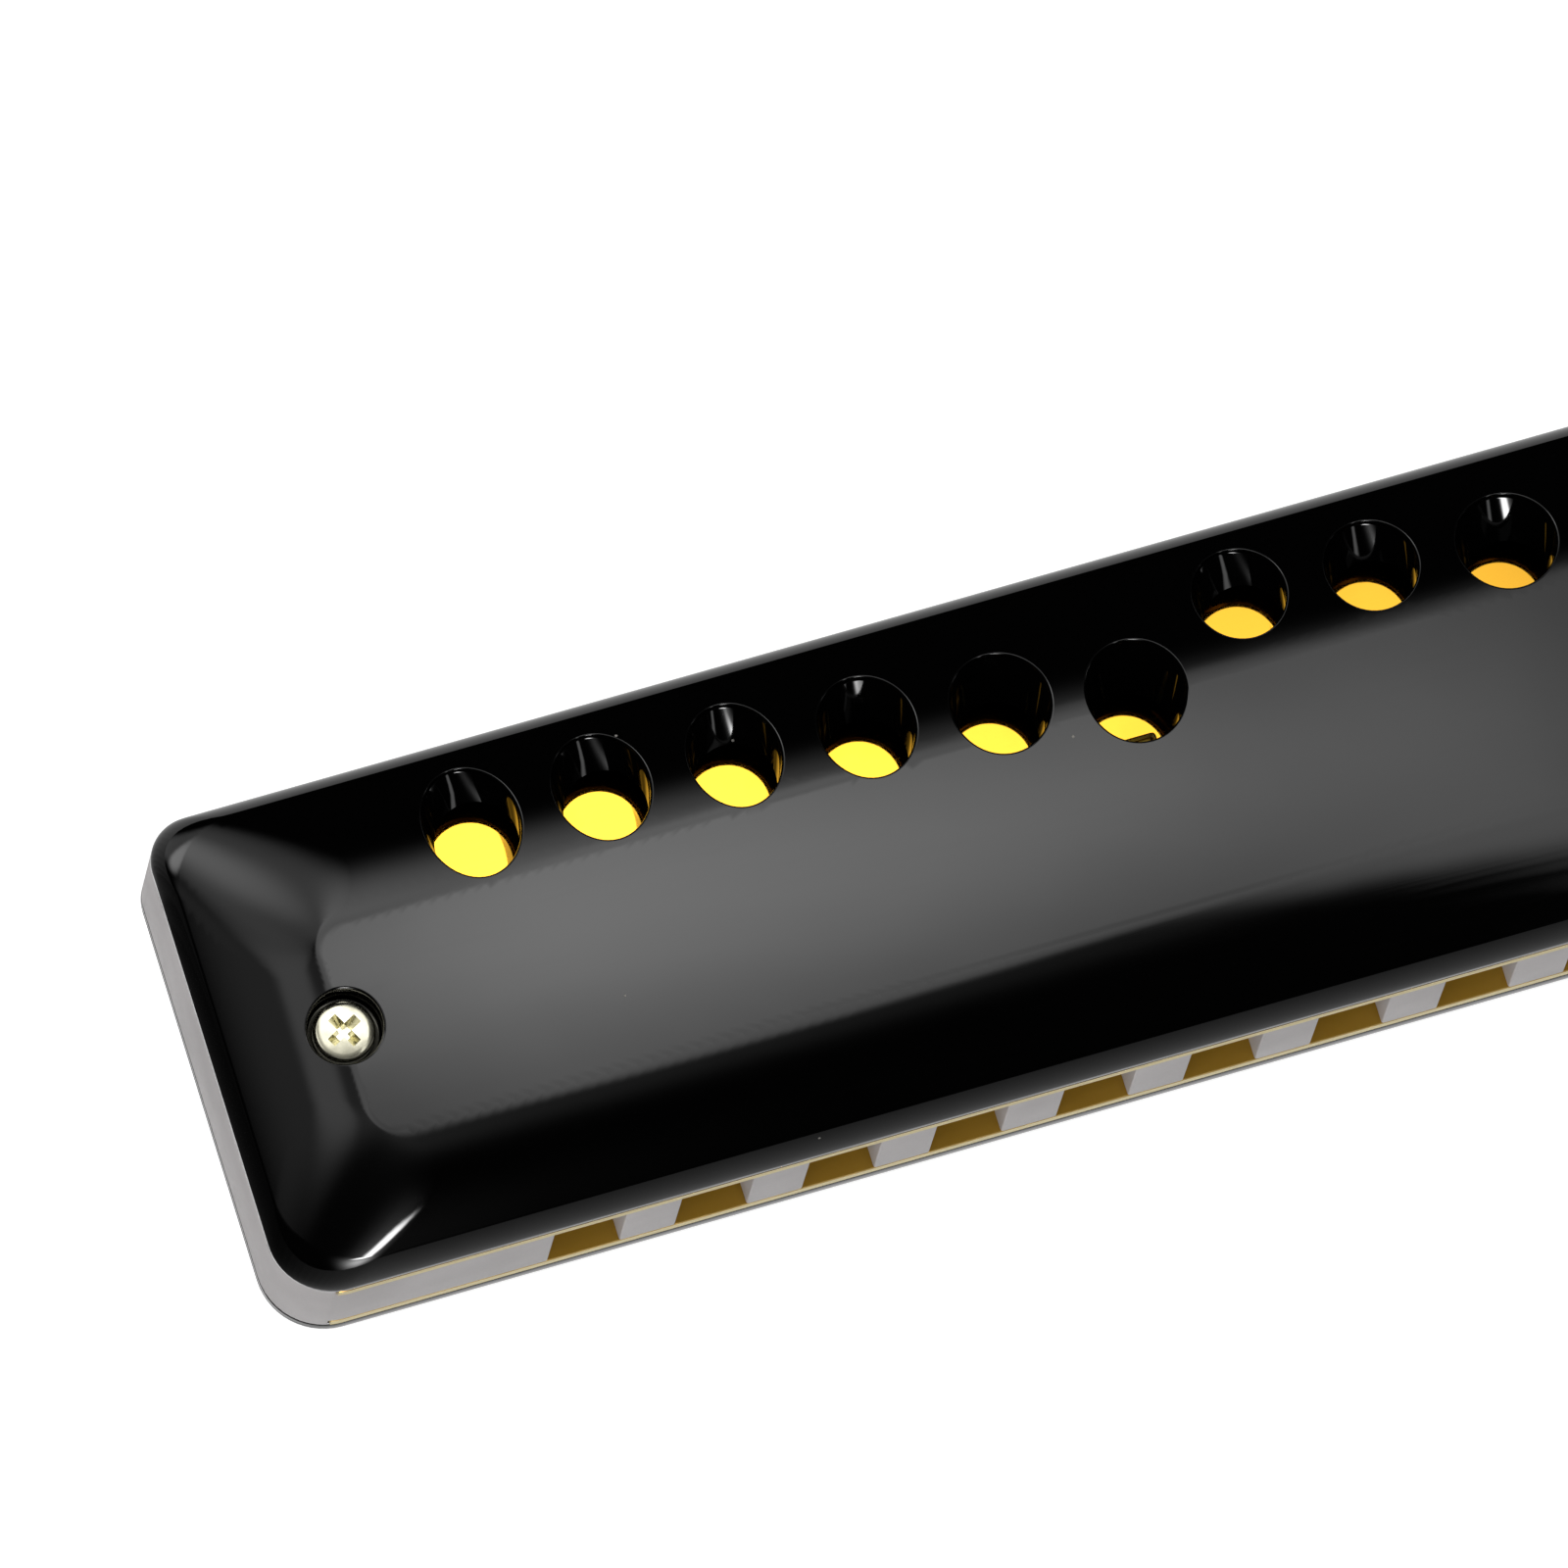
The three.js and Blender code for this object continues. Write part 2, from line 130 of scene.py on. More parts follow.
# The cards on the floor: how far each line of a change lies from the harmonica, at its ends and
# along it, in millimetres; and the radiance there at the ends, in front and at the back
FLOOR_CARDS = [
    (0.3, 0.3, 0.02, 0.7, 0.7),
    (0.88, 1.36, 0.02, 0.8, 0.7),
    (0.94, 1.45, 1.3, 0.6, 0.7),
    (1.9, 2.95, 1.3, 0.6, 0.7),
    (1.98, 3.1, 0.02, 0.23, 0.7),
    (300.0, 300.0, 0.02, 0.23, 0.7),
]


def length(description, millimetres):
    """A size that a user can change, in Blender's length unit."""
    return bpy.props.FloatProperty(
        description=description, default=millimetres * MM, min=0.0, precision=5, unit="LENGTH"
    )


def angle(description, degrees):
    """An angle that a user can change."""
    return bpy.props.FloatProperty(
        description=description, default=math.radians(degrees), subtype="ANGLE"
    )


def tint(description, hex_code):
    """A colour that a user can change, from its sRGB hex value."""
    return bpy.props.FloatVectorProperty(
        description=description, default=linear(hex_code), subtype="COLOR", size=4, min=0.0, max=1.0
    )


def linear(hex_code):
    """An sRGB hex colour as linear red, green, blue and a full alpha."""
    channels = [int(hex_code[i : i + 2], 16) / 255 for i in (1, 3, 5)]
    return tuple(c / 12.92 if c <= 0.04045 else ((c + 0.055) / 1.055) ** 2.4 for c in channels) + (1.0,)


def darker(colour, share):
    """A colour with only a share of its light."""
    return tuple(share * c for c in colour[:3]) + (1.0,)


class CoverSizes(bpy.types.PropertyGroup):
    """Sizes of the two moulded covers."""

    front_corner: length("Radius of the outline's front corners", 3.8)
    back_corner: length("Radius of the outline's back corners", 2.4)
    waist_corner: length("Radius of the corners half way up the slopes", 6)
    crown_corner: length("Radius of the corners of the flat crown", 1.8)
    rim: length("Height of the upright band below the slopes", 0.7)
    wall: length("Thickness of the moulded wall", 1.3)
    front_slope: length("How far the front slope reaches in", 6.6)
    back_slope: length("How far the back slope reaches in", 9)
    end_slope: length("How far the slopes at the two ends reach in", 6.8)
    crown_drop: length("How far the crown falls towards its long edges", 0.25)
    crown_sag: length("How far the crown falls towards its two ends", 0.12)
    edge: length("Radius on the moulding's sharp edges", 0.15)


class VentSizes(bpy.types.PropertyGroup):
    """Sizes that the vents in the covers share."""

    lip: length("How far the rounded lip spreads around the mouth", 0.16)
    lip_depth: length("How deep the rounded lip goes", 0.4)
    throat: length("Radius at the foot of the tube", 2.4)
    foot: length("Height of the tube's foot over the reed plate", 2.6)
    wall: length("Thickness of the tube at its foot", 0.9)


class FastenerSizes(bpy.types.PropertyGroup):
    """Sizes of the bolts, nuts, screws and rivets."""

    pocket: length("Radius of the pocket around a bolt's head", 2.15)
    head_sink: length("How far a bolt's seat lies below the crown", 2.3)
    nut_sink: length("How far a nut's seat lies below the crown", 2.6)
    bore: length("Radius of the holes that a bolt passes through", 1.2)
    boss_wall: length("Plastic around a pocket", 1.2)
    bolt: length("Radius of a bolt's shank", 1)
    thread_pitch: length("Distance from one thread to the next", 0.4)
    head: length("Radius of a bolt's pan head", 1.78)
    head_height: length("Height of a bolt's pan head", 1.2)
    cross_turn: angle("Where the cross recess came to rest when the bolt was tight", 28)
    flats: length("Width of a nut from flat to flat", 4)
    nut_height: length("Height of a nut", 1.6)
    screw: length("Radius of a plate screw's shank", 0.7)
    screw_head: length("Radius of a plate screw's head", 1.4)
    screw_head_height: length("Height of a plate screw's head", 0.8)
    rivet: length("Radius of a rivet's shank", 0.5)
    rivet_head: length("Radius of a rivet's head", 0.9)
    rivet_head_height: length("Height of a rivet's head", 0.4)


class ReedSizes(bpy.types.PropertyGroup):
    """Sizes of the reeds, the slots under them and the comb's chambers."""

    tongue_width: length("Width of a reed's tongue", 2)
    pad_width: length("Width of the pad that is riveted", 3.2)
    pad_length: length("Length of the pad that is riveted", 2.8)
    taper: length("Length of the taper from the pad to the tongue", 0.8)
    thickness: length("Thickness of the reed at its pad", 0.25)
    thinnest: length("Thickness of the ground part of the tongue", 0.11)
    lift: length("Gap between a reed and its plate", 0.15)
    side_gap: length("Gap between a tongue and the sides of its slot", 0.15)
    tip_gap: length("Gap between a tongue's tip and the end of its slot", 0.25)
    hole_width: length("Width of a mouth hole and its chamber", 4.2)
    chamber_gap: length("Space behind a reed's pad in its chamber", 0.5)
    plate_chamfer: length("Chamfer that shearing leaves on a plate's edges", 0.06)
    comb_edge: length("Radius on the comb's moulded edges", 0.14)


class Finishes(bpy.types.PropertyGroup):
    """Colours of the materials, as the eye sees them under plain light."""

    black_abs: tint("Glossy moulded covers", "#020202")
    dust: tint("Specks that lie on the covers", "#8F8C86")
    grey_abs: tint("Satin moulded comb", "#CECACA")
    rolled_brass: tint("Faces of the reed plates", "#E3AA34")
    tarnish: tint("Duller patches on the brass", "#D49A2C")
    # Painted light and shade: a darker, duller brass for the plates' faces inside the comb, which gives the
    # chambers seen through the mouth holes their shaded gold.
    chamber_shade_brass: tint("Dull faces towards the air chambers", "#B08724")
    sheared_brass: tint("Cut edges of the reed plates", "#FAE9B4")
    ground_brass: tint("Reeds and rivets", "#EBC95A")
    nickel: tint("Bolts, nuts and screws", "#F8F4DA")
    floor: tint("Seamless paper below the harmonica", "#DEDEDE")


class StageSizes(bpy.types.PropertyGroup):
    """The camera's place and the light of the studio."""

    azimuth: angle("Turn of the camera round the harmonica", -33.7)
    elevation: angle("Height of the camera above the horizon", 76)
    roll: angle("Tilt of the camera about its own axis", 17.1)
    distance: length("From the camera to the point that it aims at", 2696)
    aim_left: length("How far the aim lies left of the comb's middle in the picture", 16.99)
    aim_up: length("How far the aim lies above the comb's middle in the picture", 3.09)
    lens: bpy.props.FloatProperty(
        description="Focal length of the camera in millimetres", default=1100.0, min=1.0
    )
    tent: length("Radius of the black tent around the harmonica", 300)
    lights: bpy.props.FloatProperty(
        description="Factor on the radiance of all the lights in the tent", default=1.0, min=0.0
    )
    paper: bpy.props.FloatProperty(
        description="Glow that turns the paper white to the camera", default=0.78, min=0.0
    )
    fill: bpy.props.FloatVectorProperty(
        description="Light on matt surfaces from the room's left and right walls",
        default=(1.4, 0.42), size=2, min=0.0,
    )


# Meshes


class Skin:
    """A closed surface gathered ring by ring: its points, their normals, its wear and its faces."""

    least_turn = 1e-14

    def __init__(self):
        self.points = []
        self.normals = []
        self.wear = []
        self.faces = []

    def add(self, points, normals=None, wear=0.0):
        """Adds points and gives their numbers. Without normals, Blender works them out."""
        first = len(self.points)
        self.points.extend(np.array(points, float).tolist())
        self.normals.extend(np.zeros((len(points), 3)).tolist() if normals is None else normals.tolist())
        self.wear.extend([wear] * len(points))
        return list(range(first, len(self.points)))

    def bridge(self, *rings):
        """Joins closed rings of equal count with four-sided faces, in the order given."""
        for near, far in zip(rings, rings[1:]):
            for i in range(len(near)):
                after = (i + 1) % len(near)
                self.faces.append((near[i], near[after], far[after], far[i]))

    def cap(self, ring, upward):
        """Closes a ring with one face."""
        self.faces.append(tuple(ring if upward else reversed(ring)))

    def sheet(self, loops, upward, others=()):
        """Fills the region inside the first loop and outside the rest, over the other points as well.
        Points come as their numbers."""
        numbers = [n for loop in loops for n in loop] + list(others)
        spots = [Vector(self.points[n][:2]) for n in numbers]
        spot_of = {n: i for i, n in enumerate(numbers)}
        edges = [(spot_of[a], spot_of[b]) for loop in loops for a, b in zip(loop, [*loop[1:], loop[0]])]
        _, _, triangles, origins, _, _ = delaunay_2d_cdt(spots, edges, [], 0, 0.0)
        back = [numbers[o[0]] if o else None for o in origins]
        corners = [[back[c] for c in t] for t in triangles]
        corners = [c for c in corners if None not in c]
        plan = np.array([[self.points[n][:2] for n in c] for c in corners])
        rims = [np.array([spots[spot_of[n]] for n in loop]) for loop in loops]
        keep = within(rims[0], plan.mean(axis=1))
        for rim in rims[1:]:
            keep &= ~within(rim, plan.mean(axis=1))
        one, other = plan[:, 1] - plan[:, 0], plan[:, 2] - plan[:, 0]
        turns = one[:, 0] * other[:, 1] - one[:, 1] * other[:, 0]
        for c, turn in zip(corners, np.where(keep, turns, 0)):
            if abs(turn) > self.least_turn:
                self.faces.append(tuple(c if (turn > 0) == upward else reversed(c)))

    def mesh(self, sharp_angle=math.radians(32)):
        """The surface as a smooth mesh whose edges stay sharp above an angle."""
        made = bpy.data.meshes.new("skin")
        made.from_pydata(self.points, [], self.faces)
        made.polygons.foreach_set("use_smooth", [True] * len(made.polygons))
        made.set_sharp_from_angle(angle=sharp_angle)
        made.attributes.new("wear", "FLOAT", "POINT").data.foreach_set("value", self.wear)
        if any(any(n) for n in self.normals):
            made.normals_split_custom_set_from_vertices(self.normals)
        made.update()
        return made


def within(loop, points):
    """Which of the points lie inside a closed loop."""
    inside = np.zeros(len(points), bool)
    for (ax, ay), (bx, by) in zip(loop, np.roll(loop, -1, axis=0)):
        if ay == by:
            continue
        across = (ay > points[:, 1]) != (by > points[:, 1])
        at = ax + (points[:, 1] - ay) * (bx - ax) / (by - ay)
        inside ^= across & (points[:, 0] < at)
    return inside


def ellipse(x, y, half_x, half_y, angles):
    """Points of an ellipse at the given angles."""
    return np.stack([x + half_x * np.cos(angles), y + half_y * np.sin(angles)], axis=1)


def circle(x, y, radius, steps):
    """Points of a circle, anticlockwise from above."""
    return ellipse(x, y, radius, radius, np.arange(steps) * 2 * math.pi / steps)


def rectangle(low_x, low_y, high_x, high_y):
    """The corners of a rectangle, anticlockwise."""
    return np.array([(low_x, low_y), (high_x, low_y), (high_x, high_y), (low_x, high_y)])


def arc_corners(half_x, half_y, front, back, steps):
    """A rectangle with true round corners, anticlockwise, with a radius for each end of Y."""
    points = []
    for quarter, (x, y) in enumerate(QUARTERS):
        corner = back if y > 0 else front
        angles = (quarter + np.arange(steps + 1) / steps) * math.pi / 2
        points.extend(ellipse(x * (half_x - corner), y * (half_y - corner), corner, corner, angles))
    return np.array(points)


def rounded_polygon(corners, radius, steps):
    """A convex or concave polygon with each corner turned into a soft curve."""
    points = []
    count = len(corners)
    for i in range(count):
        before, here, after = (Vector(corners[(i + k) % count]) for k in (-1, 0, 1))
        into, out = (here - before).normalized(), (after - here).normalized()
        reach = abs(radius * math.tan(into.angle_signed(out) / 2))
        start, end = here - into * reach, here + out * reach
        for t in np.arange(steps + 1) / steps:
            points.append(start * (1 - t) ** 2 + here * 2 * t * (1 - t) + end * t**2)
    return np.array(points)


def offset(loop, distance):
    """An anticlockwise loop moved outwards by a distance."""
    before, after = np.roll(loop, 1, axis=0), np.roll(loop, -1, axis=0)
    into = (loop - before) / np.linalg.norm(loop - before, axis=1, keepdims=True)
    out = (after - loop) / np.linalg.norm(after - loop, axis=1, keepdims=True)
    first, second = (np.stack([way[:, 1], -way[:, 0]], axis=1) for way in (into, out))
    share = 1 + np.sum(first * second, axis=1, keepdims=True)
    return loop + distance * (first + second) / share


def at_height(loop, z):
    """A flat loop as points at one height."""
    return np.column_stack([loop, np.full(len(loop), z)])


def sheet_metal(outline, holes, low, high, chamfer):
    """A flat sheet with holes, and a chamfer along all its edges."""
    skin = Skin()
    tops, bottoms = [], []
    for number, loop in enumerate([outline, *holes]):
        eased = offset(loop, -chamfer if number == 0 else chamfer)
        levels = ((eased, low), (loop, low + chamfer), (loop, high - chamfer), (eased, high))
        rings = [skin.add(at_height(ring, z)) for ring, z in levels]
        skin.bridge(*(rings if number == 0 else reversed(rings)))
        bottoms.append(rings[0])
        tops.append(rings[-1])
    for loops, upward in ((tops, True), (bottoms, False)):
        skin.sheet(loops, upward)
    return skin.mesh(math.radians(20))


def turned(profile, steps, x=0.0, y=0.0):
    """A shape turned about an upright axis from pairs of radius and height, lowest first."""
    skin = Skin()
    rings = [skin.add(at_height(circle(x, y, radius, steps), height)) for radius, height in profile]
    skin.cap(rings[0], False)
    skin.bridge(*rings)
    skin.cap(rings[-1], True)
    return skin.mesh(math.radians(28))


def loft(low, high, low_z, high_z):
    """A closed shape between two flat loops of equal count."""
    skin = Skin()
    foot, head = skin.add(at_height(low, low_z)), skin.add(at_height(high, high_z))
    skin.cap(foot, False)
    skin.bridge(foot, head)
    skin.cap(head, True)
    return skin.mesh()


def add_object(name, data):
    """Adds an object to the scene."""
    made = bpy.data.objects.new(name, data)
    bpy.context.scene.collection.objects.link(made)
    return made


def carved(solid, cutters, operation="DIFFERENCE", edge=0.0):
    """A solid after its cutters, with its edges rounded if a radius is given."""
    target = add_object("blank", solid)
    tools = [add_object("cutter", cutter) for cutter in cutters]
    for tool in tools:
        cut = target.modifiers.new("cut", "BOOLEAN")
        cut.object, cut.operation, cut.solver = tool, operation, "EXACT"
    if edge:
        ease = target.modifiers.new("edges", "BEVEL")
        ease.width, ease.segments, ease.limit_method = edge, 3, "ANGLE"
        ease.angle_limit = math.radians(35)
        ease.harden_normals = False
    ready = target.evaluated_get(bpy.context.evaluated_depsgraph_get())
    made = bpy.data.meshes.new_from_object(ready)
    for extra in [target, *tools]:
        bpy.data.objects.remove(extra)
    made.polygons.foreach_set("use_smooth", [True] * len(made.polygons))
    made.set_sharp_from_angle(angle=math.radians(28))
    made.update()
    return made


def moved(mesh, x=0.0, y=0.0, z=0.0, turn=0.0, axis="Z"):
    """A mesh turned about an axis through the origin and then moved."""
    mesh.transform(Matrix.Translation((x, y, z)) @ Matrix.Rotation(turn, 4, axis))
    return mesh


def place(name, mesh, material, body, node):
    """Puts a finished piece into the scene in place of the CAD node that it stands for."""
    old = bpy.data.objects.get(name)
    if old:
        bpy.data.objects.remove(old)
    mesh.name = name
    mesh.materials.clear()
    mesh.materials.append(material)
    piece = add_object(name, mesh)
    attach(piece, body)
    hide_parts(node)


# Materials


def add_node(tree, kind, inputs=(), output=0, **settings):
    """Adds a node, applies its settings, and fills or links its inputs, which come by name or number
    or else in order. Gives the output that is asked for, if the node has any."""
    made = tree.nodes.new("ShaderNode" + kind)
    for key, value in settings.items():
        setattr(made, key, value)
    for key, value in inputs.items() if isinstance(inputs, dict) else enumerate(inputs):
        if isinstance(value, bpy.types.NodeSocket):
            tree.links.new(value, made.inputs[key])
        else:
            made.inputs[key].default_value = value
    return made.outputs[output] if len(made.outputs) else None


def cleared_tree(owner):
    """The node tree of a material or of the world, without its first nodes."""
    owner.use_nodes = True
    owner.node_tree.nodes.clear()
    return owner.node_tree


def new_material(name):
    """A material with an empty node tree, and its object coordinates."""
    material = bpy.data.materials.get(name) or bpy.data.materials.new(name)
    tree = cleared_tree(material)
    return material, tree, add_node(tree, "TexCoord", output="Object")


def made_of(look, finishes):
    """A material named after a look, with the shader inputs that the look gives."""
    material, tree, spot = new_material(look.__name__)
    add_node(tree, "OutputMaterial", [add_node(tree, "BsdfPrincipled", look(tree, spot, finishes))])
    return material


def polished_black_abs(tree, spot, finishes):
    """Black ABS from a mirror-polished mould: the surface is nearly black, and nearly all that the
    eye sees is the clear reflection of the room, broken by dust and by faint wiping marks."""
    worn = add_node(tree, "Attribute", output="Fac", attribute_name="wear")
    cells = add_node(tree, "TexVoronoi", {"Vector": spot, "Scale": 1 / (5.2 * MM)})
    speck = add_node(tree, "MapRange", [cells, 0.011, 0.019, 1.0, 0.0])
    wiped = add_node(tree, "Mapping", {"Vector": spot, "Rotation": (0, 0, 0.35), "Scale": (90, 2600, 900)})
    marks = add_node(tree, "TexNoise", {"Vector": wiped, "Scale": 1.0, "Detail": 3.0})
    haze = add_node(tree, "MapRange", [marks, 0.55, 0.8, 0.04, 0.07])
    edge = add_node(tree, "Math", [worn, 0.05, haze], operation="MULTIPLY_ADD")
    rough = add_node(tree, "Math", [edge, speck], operation="MAXIMUM")
    shades = {0: speck, 6: finishes.black_abs, 7: finishes.dust}
    colour = add_node(tree, "Mix", shades, 2, data_type="RGBA")
    flow = add_node(tree, "TexNoise", {"Vector": spot, "Scale": 1 / (9 * MM), "Detail": 1.0})
    bump = add_node(tree, "Bump", {"Height": flow, "Distance": 0.012 * MM})
    return {"Base Color": colour, "Roughness": rough, "IOR": ABS_IOR, "Normal": bump}


def satin_grey_abs(tree, spot, finishes):
    """Pale grey ABS from a fine-eroded mould: an even satin surface with a soft, broad sheen."""
    cloud = add_node(tree, "TexNoise", {"Vector": spot, "Scale": 1 / (6 * MM), "Detail": 3.0})
    shade = add_node(tree, "MapRange", [cloud, 0.3, 0.7])
    shades = {0: shade, 6: finishes.grey_abs, 7: darker(finishes.grey_abs, 0.86)}
    colour = add_node(tree, "Mix", shades, 2, data_type="RGBA")
    grain = add_node(tree, "TexNoise", {"Vector": spot, "Scale": 1 / (0.16 * MM), "Detail": 4.0})
    rough = add_node(tree, "MapRange", [grain, 0.3, 0.7, 0.38, 0.5])
    bump = add_node(tree, "Bump", {"Height": grain, "Strength": 0.5, "Distance": 0.012 * MM})
    return {"Base Color": colour, "Roughness": rough, "IOR": ABS_IOR, "Normal": bump}


def rolled_brass(tree, spot, finishes):
    """Bright-rolled brass sheet: a warm mirror with faint lines along the rolling direction, and paler,
    rougher edges where it was sheared and punched. The faces inside the comb get a darker, duller, partly
    matt brass: painted light and shade for the chambers seen through the mouth holes."""
    patches = add_node(tree, "TexNoise", {"Vector": spot, "Scale": 1 / (5 * MM), "Detail": 4.0})
    dull = add_node(tree, "MapRange", [patches, 0.52, 0.75, 0.0, 0.5])
    shades = {0: dull, 6: finishes.rolled_brass, 7: finishes.tarnish}
    face = add_node(tree, "Mix", shades, 2, data_type="RGBA")
    normal = add_node(tree, "NewGeometry", output="Normal")
    facing = add_node(tree, "SeparateXYZ", [normal], "Z")
    level = add_node(tree, "Math", [facing], operation="ABSOLUTE")
    cut = add_node(tree, "MapRange", [level, 0.3, 0.8, 1.0, 0.0])
    # Painted light and shade: the faces between the two plates, inside the comb, get a darker, duller,
    # partly matt brass, which gives the chambers seen through the mouth holes an even, shaded gold.
    height = add_node(tree, "SeparateXYZ", [spot], "Z")
    low, high = PLATES["lower"][1].z, PLATES["upper"][0].z
    reach = add_node(tree, "MapRange", [height, low, high, -1.0, 1.0], clamp=False)
    away = add_node(tree, "Math", [reach], operation="ABSOLUTE")
    chamber_shade = add_node(tree, "MapRange", [away, 1.01, 1.04, 1.0, 0.0])
    for share, paint in ((chamber_shade, finishes.chamber_shade_brass), (cut, finishes.sheared_brass)):
        face = add_node(tree, "Mix", {0: share, 6: face, 7: paint}, 2, data_type="RGBA")
    drawn = add_node(tree, "Mapping", {"Vector": spot, "Scale": (60, 5200, 900)})
    lines = add_node(tree, "TexNoise", {"Vector": drawn, "Scale": 1.0, "Detail": 4.0})
    smooth = add_node(tree, "MapRange", [lines, 0.3, 0.7, 0.04, 0.07])
    dullest = add_node(tree, "Math", [cut, chamber_shade], operation="MAXIMUM")
    rough = add_node(tree, "Math", [dullest, 0.34, smooth], operation="MULTIPLY_ADD")
    metal = add_node(tree, "MapRange", {0: dullest, 3: 1.0, 4: 0.3})
    bump = add_node(tree, "Bump", {"Height": lines, "Strength": 0.1, "Distance": 0.001 * MM})
    return {"Base Color": face, "Roughness": rough, "Metallic": metal, "Normal": bump}


def ground_brass(tree, spot, finishes):
    """Reed brass ground across the tongue: fine cross lines that catch the light as short bars."""
    across = add_node(tree, "Mapping", {"Vector": spot, "Scale": (120, 7000, 900)})
    lines = add_node(tree, "TexNoise", {"Vector": across, "Scale": 1.0, "Detail": 3.0})
    shade = add_node(tree, "MapRange", [lines, 0.35, 0.65])
    shades = {0: shade, 6: finishes.ground_brass, 7: darker(finishes.ground_brass, 0.8)}
    colour = add_node(tree, "Mix", shades, 2, data_type="RGBA")
    rough = add_node(tree, "MapRange", [lines, 0.3, 0.7, 0.16, 0.3])
    bump = add_node(tree, "Bump", {"Height": lines, "Strength": 0.6, "Distance": 0.005 * MM})
    return {"Base Color": colour, "Roughness": rough, "Metallic": 1.0, "Normal": bump}


def nickel_plated_steel(tree, spot, finishes):
    """Nickel-plated steel: a warm grey metal, bright but not a mirror, with small handling marks."""
    cloud = add_node(tree, "TexNoise", {"Vector": spot, "Scale": 1 / (0.7 * MM), "Detail": 5.0})
    shade = add_node(tree, "MapRange", [cloud, 0.45, 0.75])
    shades = {0: shade, 6: finishes.nickel, 7: darker(finishes.nickel, 0.75)}
    colour = add_node(tree, "Mix", shades, 2, data_type="RGBA")
    rough = add_node(tree, "MapRange", [cloud, 0.3, 0.7, 0.12, 0.26])
    bump = add_node(tree, "Bump", {"Height": cloud, "Strength": 0.5, "Distance": 0.01 * MM})
    return {"Base Color": colour, "Roughness": rough, "Metallic": 1.0, "Normal": bump}


# Shape of the covers


class Pillow:
    """The shape of a cover as a height over its seat, drawn in all round by a margin. Each slope turns
    quickly at the rim, bends on its way up, and meets the crown in a soft crease. At the front it ends
    level, and there and at the ends the crease is softer."""

    shoulder = 0.12
    turn, front_turn = 0.30, 0.05
    bend, front_bend = 0.66, 0.34
    beyond_bend = 0.6
    crease, front_loss, end_loss = 0.014, 0.85, 0.5
    least_corner = 0.3 * MM
    farthest_share = 1.4
    corner_steps = 14
    long_steps = 96
    short_steps = 20

    def __init__(self, sizes, margin=0.0):
        self.sizes = sizes
        self.half_x = HALF_LENGTH - margin
        self.half_y = HALF_DEPTH - margin
        self.corners = np.array([sizes.front_corner - margin, sizes.back_corner - margin])
        self.rise = COVER_HEIGHT - margin - sizes.rim

    def outline(self, share):
        """Half length, front, back, and front and back corner radius of the ring at a share."""
        crown, waist = self.sizes.crown_corner, self.sizes.waist_corner
        swell = share * np.maximum(1 - share, 0)
        corners = [
            seat + (crown - seat) * share + 4 * (waist - (seat + crown) / 2) * swell
            for seat in self.corners
        ]
        return (
            self.half_x - self.sizes.end_slope * share,
            self.sizes.front_slope * share - self.half_y,
            self.half_y - self.sizes.back_slope * share,
            *(np.maximum(corner, self.least_corner) for corner in corners),
        )

    def ring(self, share):
        """The ring's points and the outward direction at each of them."""
        half_x, front, back, fore, aft = self.outline(share)
        middles = [
            (half_x - aft, back - aft, aft), (aft - half_x, back - aft, aft),
            (fore - half_x, front + fore, fore), (half_x - fore, front + fore, fore),
        ]
        points, outward = [], []
        for quarter, (x, y, corner) in enumerate(middles):
            for step in range(self.corner_steps + 1):
                angle = (quarter + step / self.corner_steps) * math.pi / 2
                way = np.array([math.cos(angle), math.sin(angle)])
                points.append(np.array([x, y]) + corner * way)
                outward.append(way)
            next_x, next_y, next_corner = middles[(quarter + 1) % 4]
            start, end = points[-1], np.array([next_x, next_y]) + next_corner * way
            count = self.long_steps if quarter % 2 == 0 else self.short_steps
            for along in np.arange(1, count) / count:
                points.append(start * (1 - along) + end * along)
                outward.append(way)
        return np.array(points), np.array(outward)

    def lift(self, share, outward):
        """The height that a share of the slope gives, from 0 at the rim to 1 at the crown."""
        frontness = np.clip(-outward[..., 1], 0, 1) ** 2
        turn = self.turn + self.front_turn * frontness
        bend = self.bend + self.front_bend * frontness
        crease = self.crease * (1 - self.front_loss * frontness - self.end_loss * outward[..., 0] ** 2)
        below, beyond = np.minimum(share, 1), np.maximum(share - 1, 0)
        rounding = np.clip(below / self.shoulder, 0, 1)
        raw = turn * np.sqrt(1 - (1 - rounding) ** 2)
        raw = raw + (1 - turn) * ((1 + bend) * below - bend * below**2)
        raw = raw + (1 - turn) * (1 - bend) * beyond + self.beyond_bend * beyond**2
        near = np.clip(0.5 + 0.5 * (1 - raw) / crease, 0, 1)
        return 1 + (raw - 1) * near - crease * near * (1 - near)

    def share_at(self, points):
        """The share of the slope at points of the plan, and the outward direction there."""
        low, high = np.zeros(len(points)), np.full(len(points), self.farthest_share)
        for _ in range(36):
            middle = (low + high) / 2
            outside = self.distance(points, middle)[0] > 0
            high = np.where(outside, middle, high)
            low = np.where(outside, low, middle)
        share = (low + high) / 2
        return share, self.distance(points, share)[1]

    def distance(self, points, share):
        """How far points lie outside the ring at a share, and the outward direction."""
        half_x, front, back, fore, aft = self.outline(share)
        corner = np.where(points[:, 1] > (front + back) / 2, aft, fore)
        x = np.abs(points[:, 0]) - half_x + corner
        y = np.abs(points[:, 1] - (front + back) / 2) - (back - front) / 2 + corner
        outer = np.stack([np.maximum(x, 0), np.maximum(y, 0)], axis=1)
        span = np.linalg.norm(outer, axis=1)
        inner = np.minimum(np.maximum(x, y), 0)
        signs = np.stack([np.sign(points[:, 0]), np.sign(points[:, 1] - (front + back) / 2)], axis=1)
        outward = outer * signs / np.maximum(span, TINY)[:, None]
        return span + inner - corner, outward

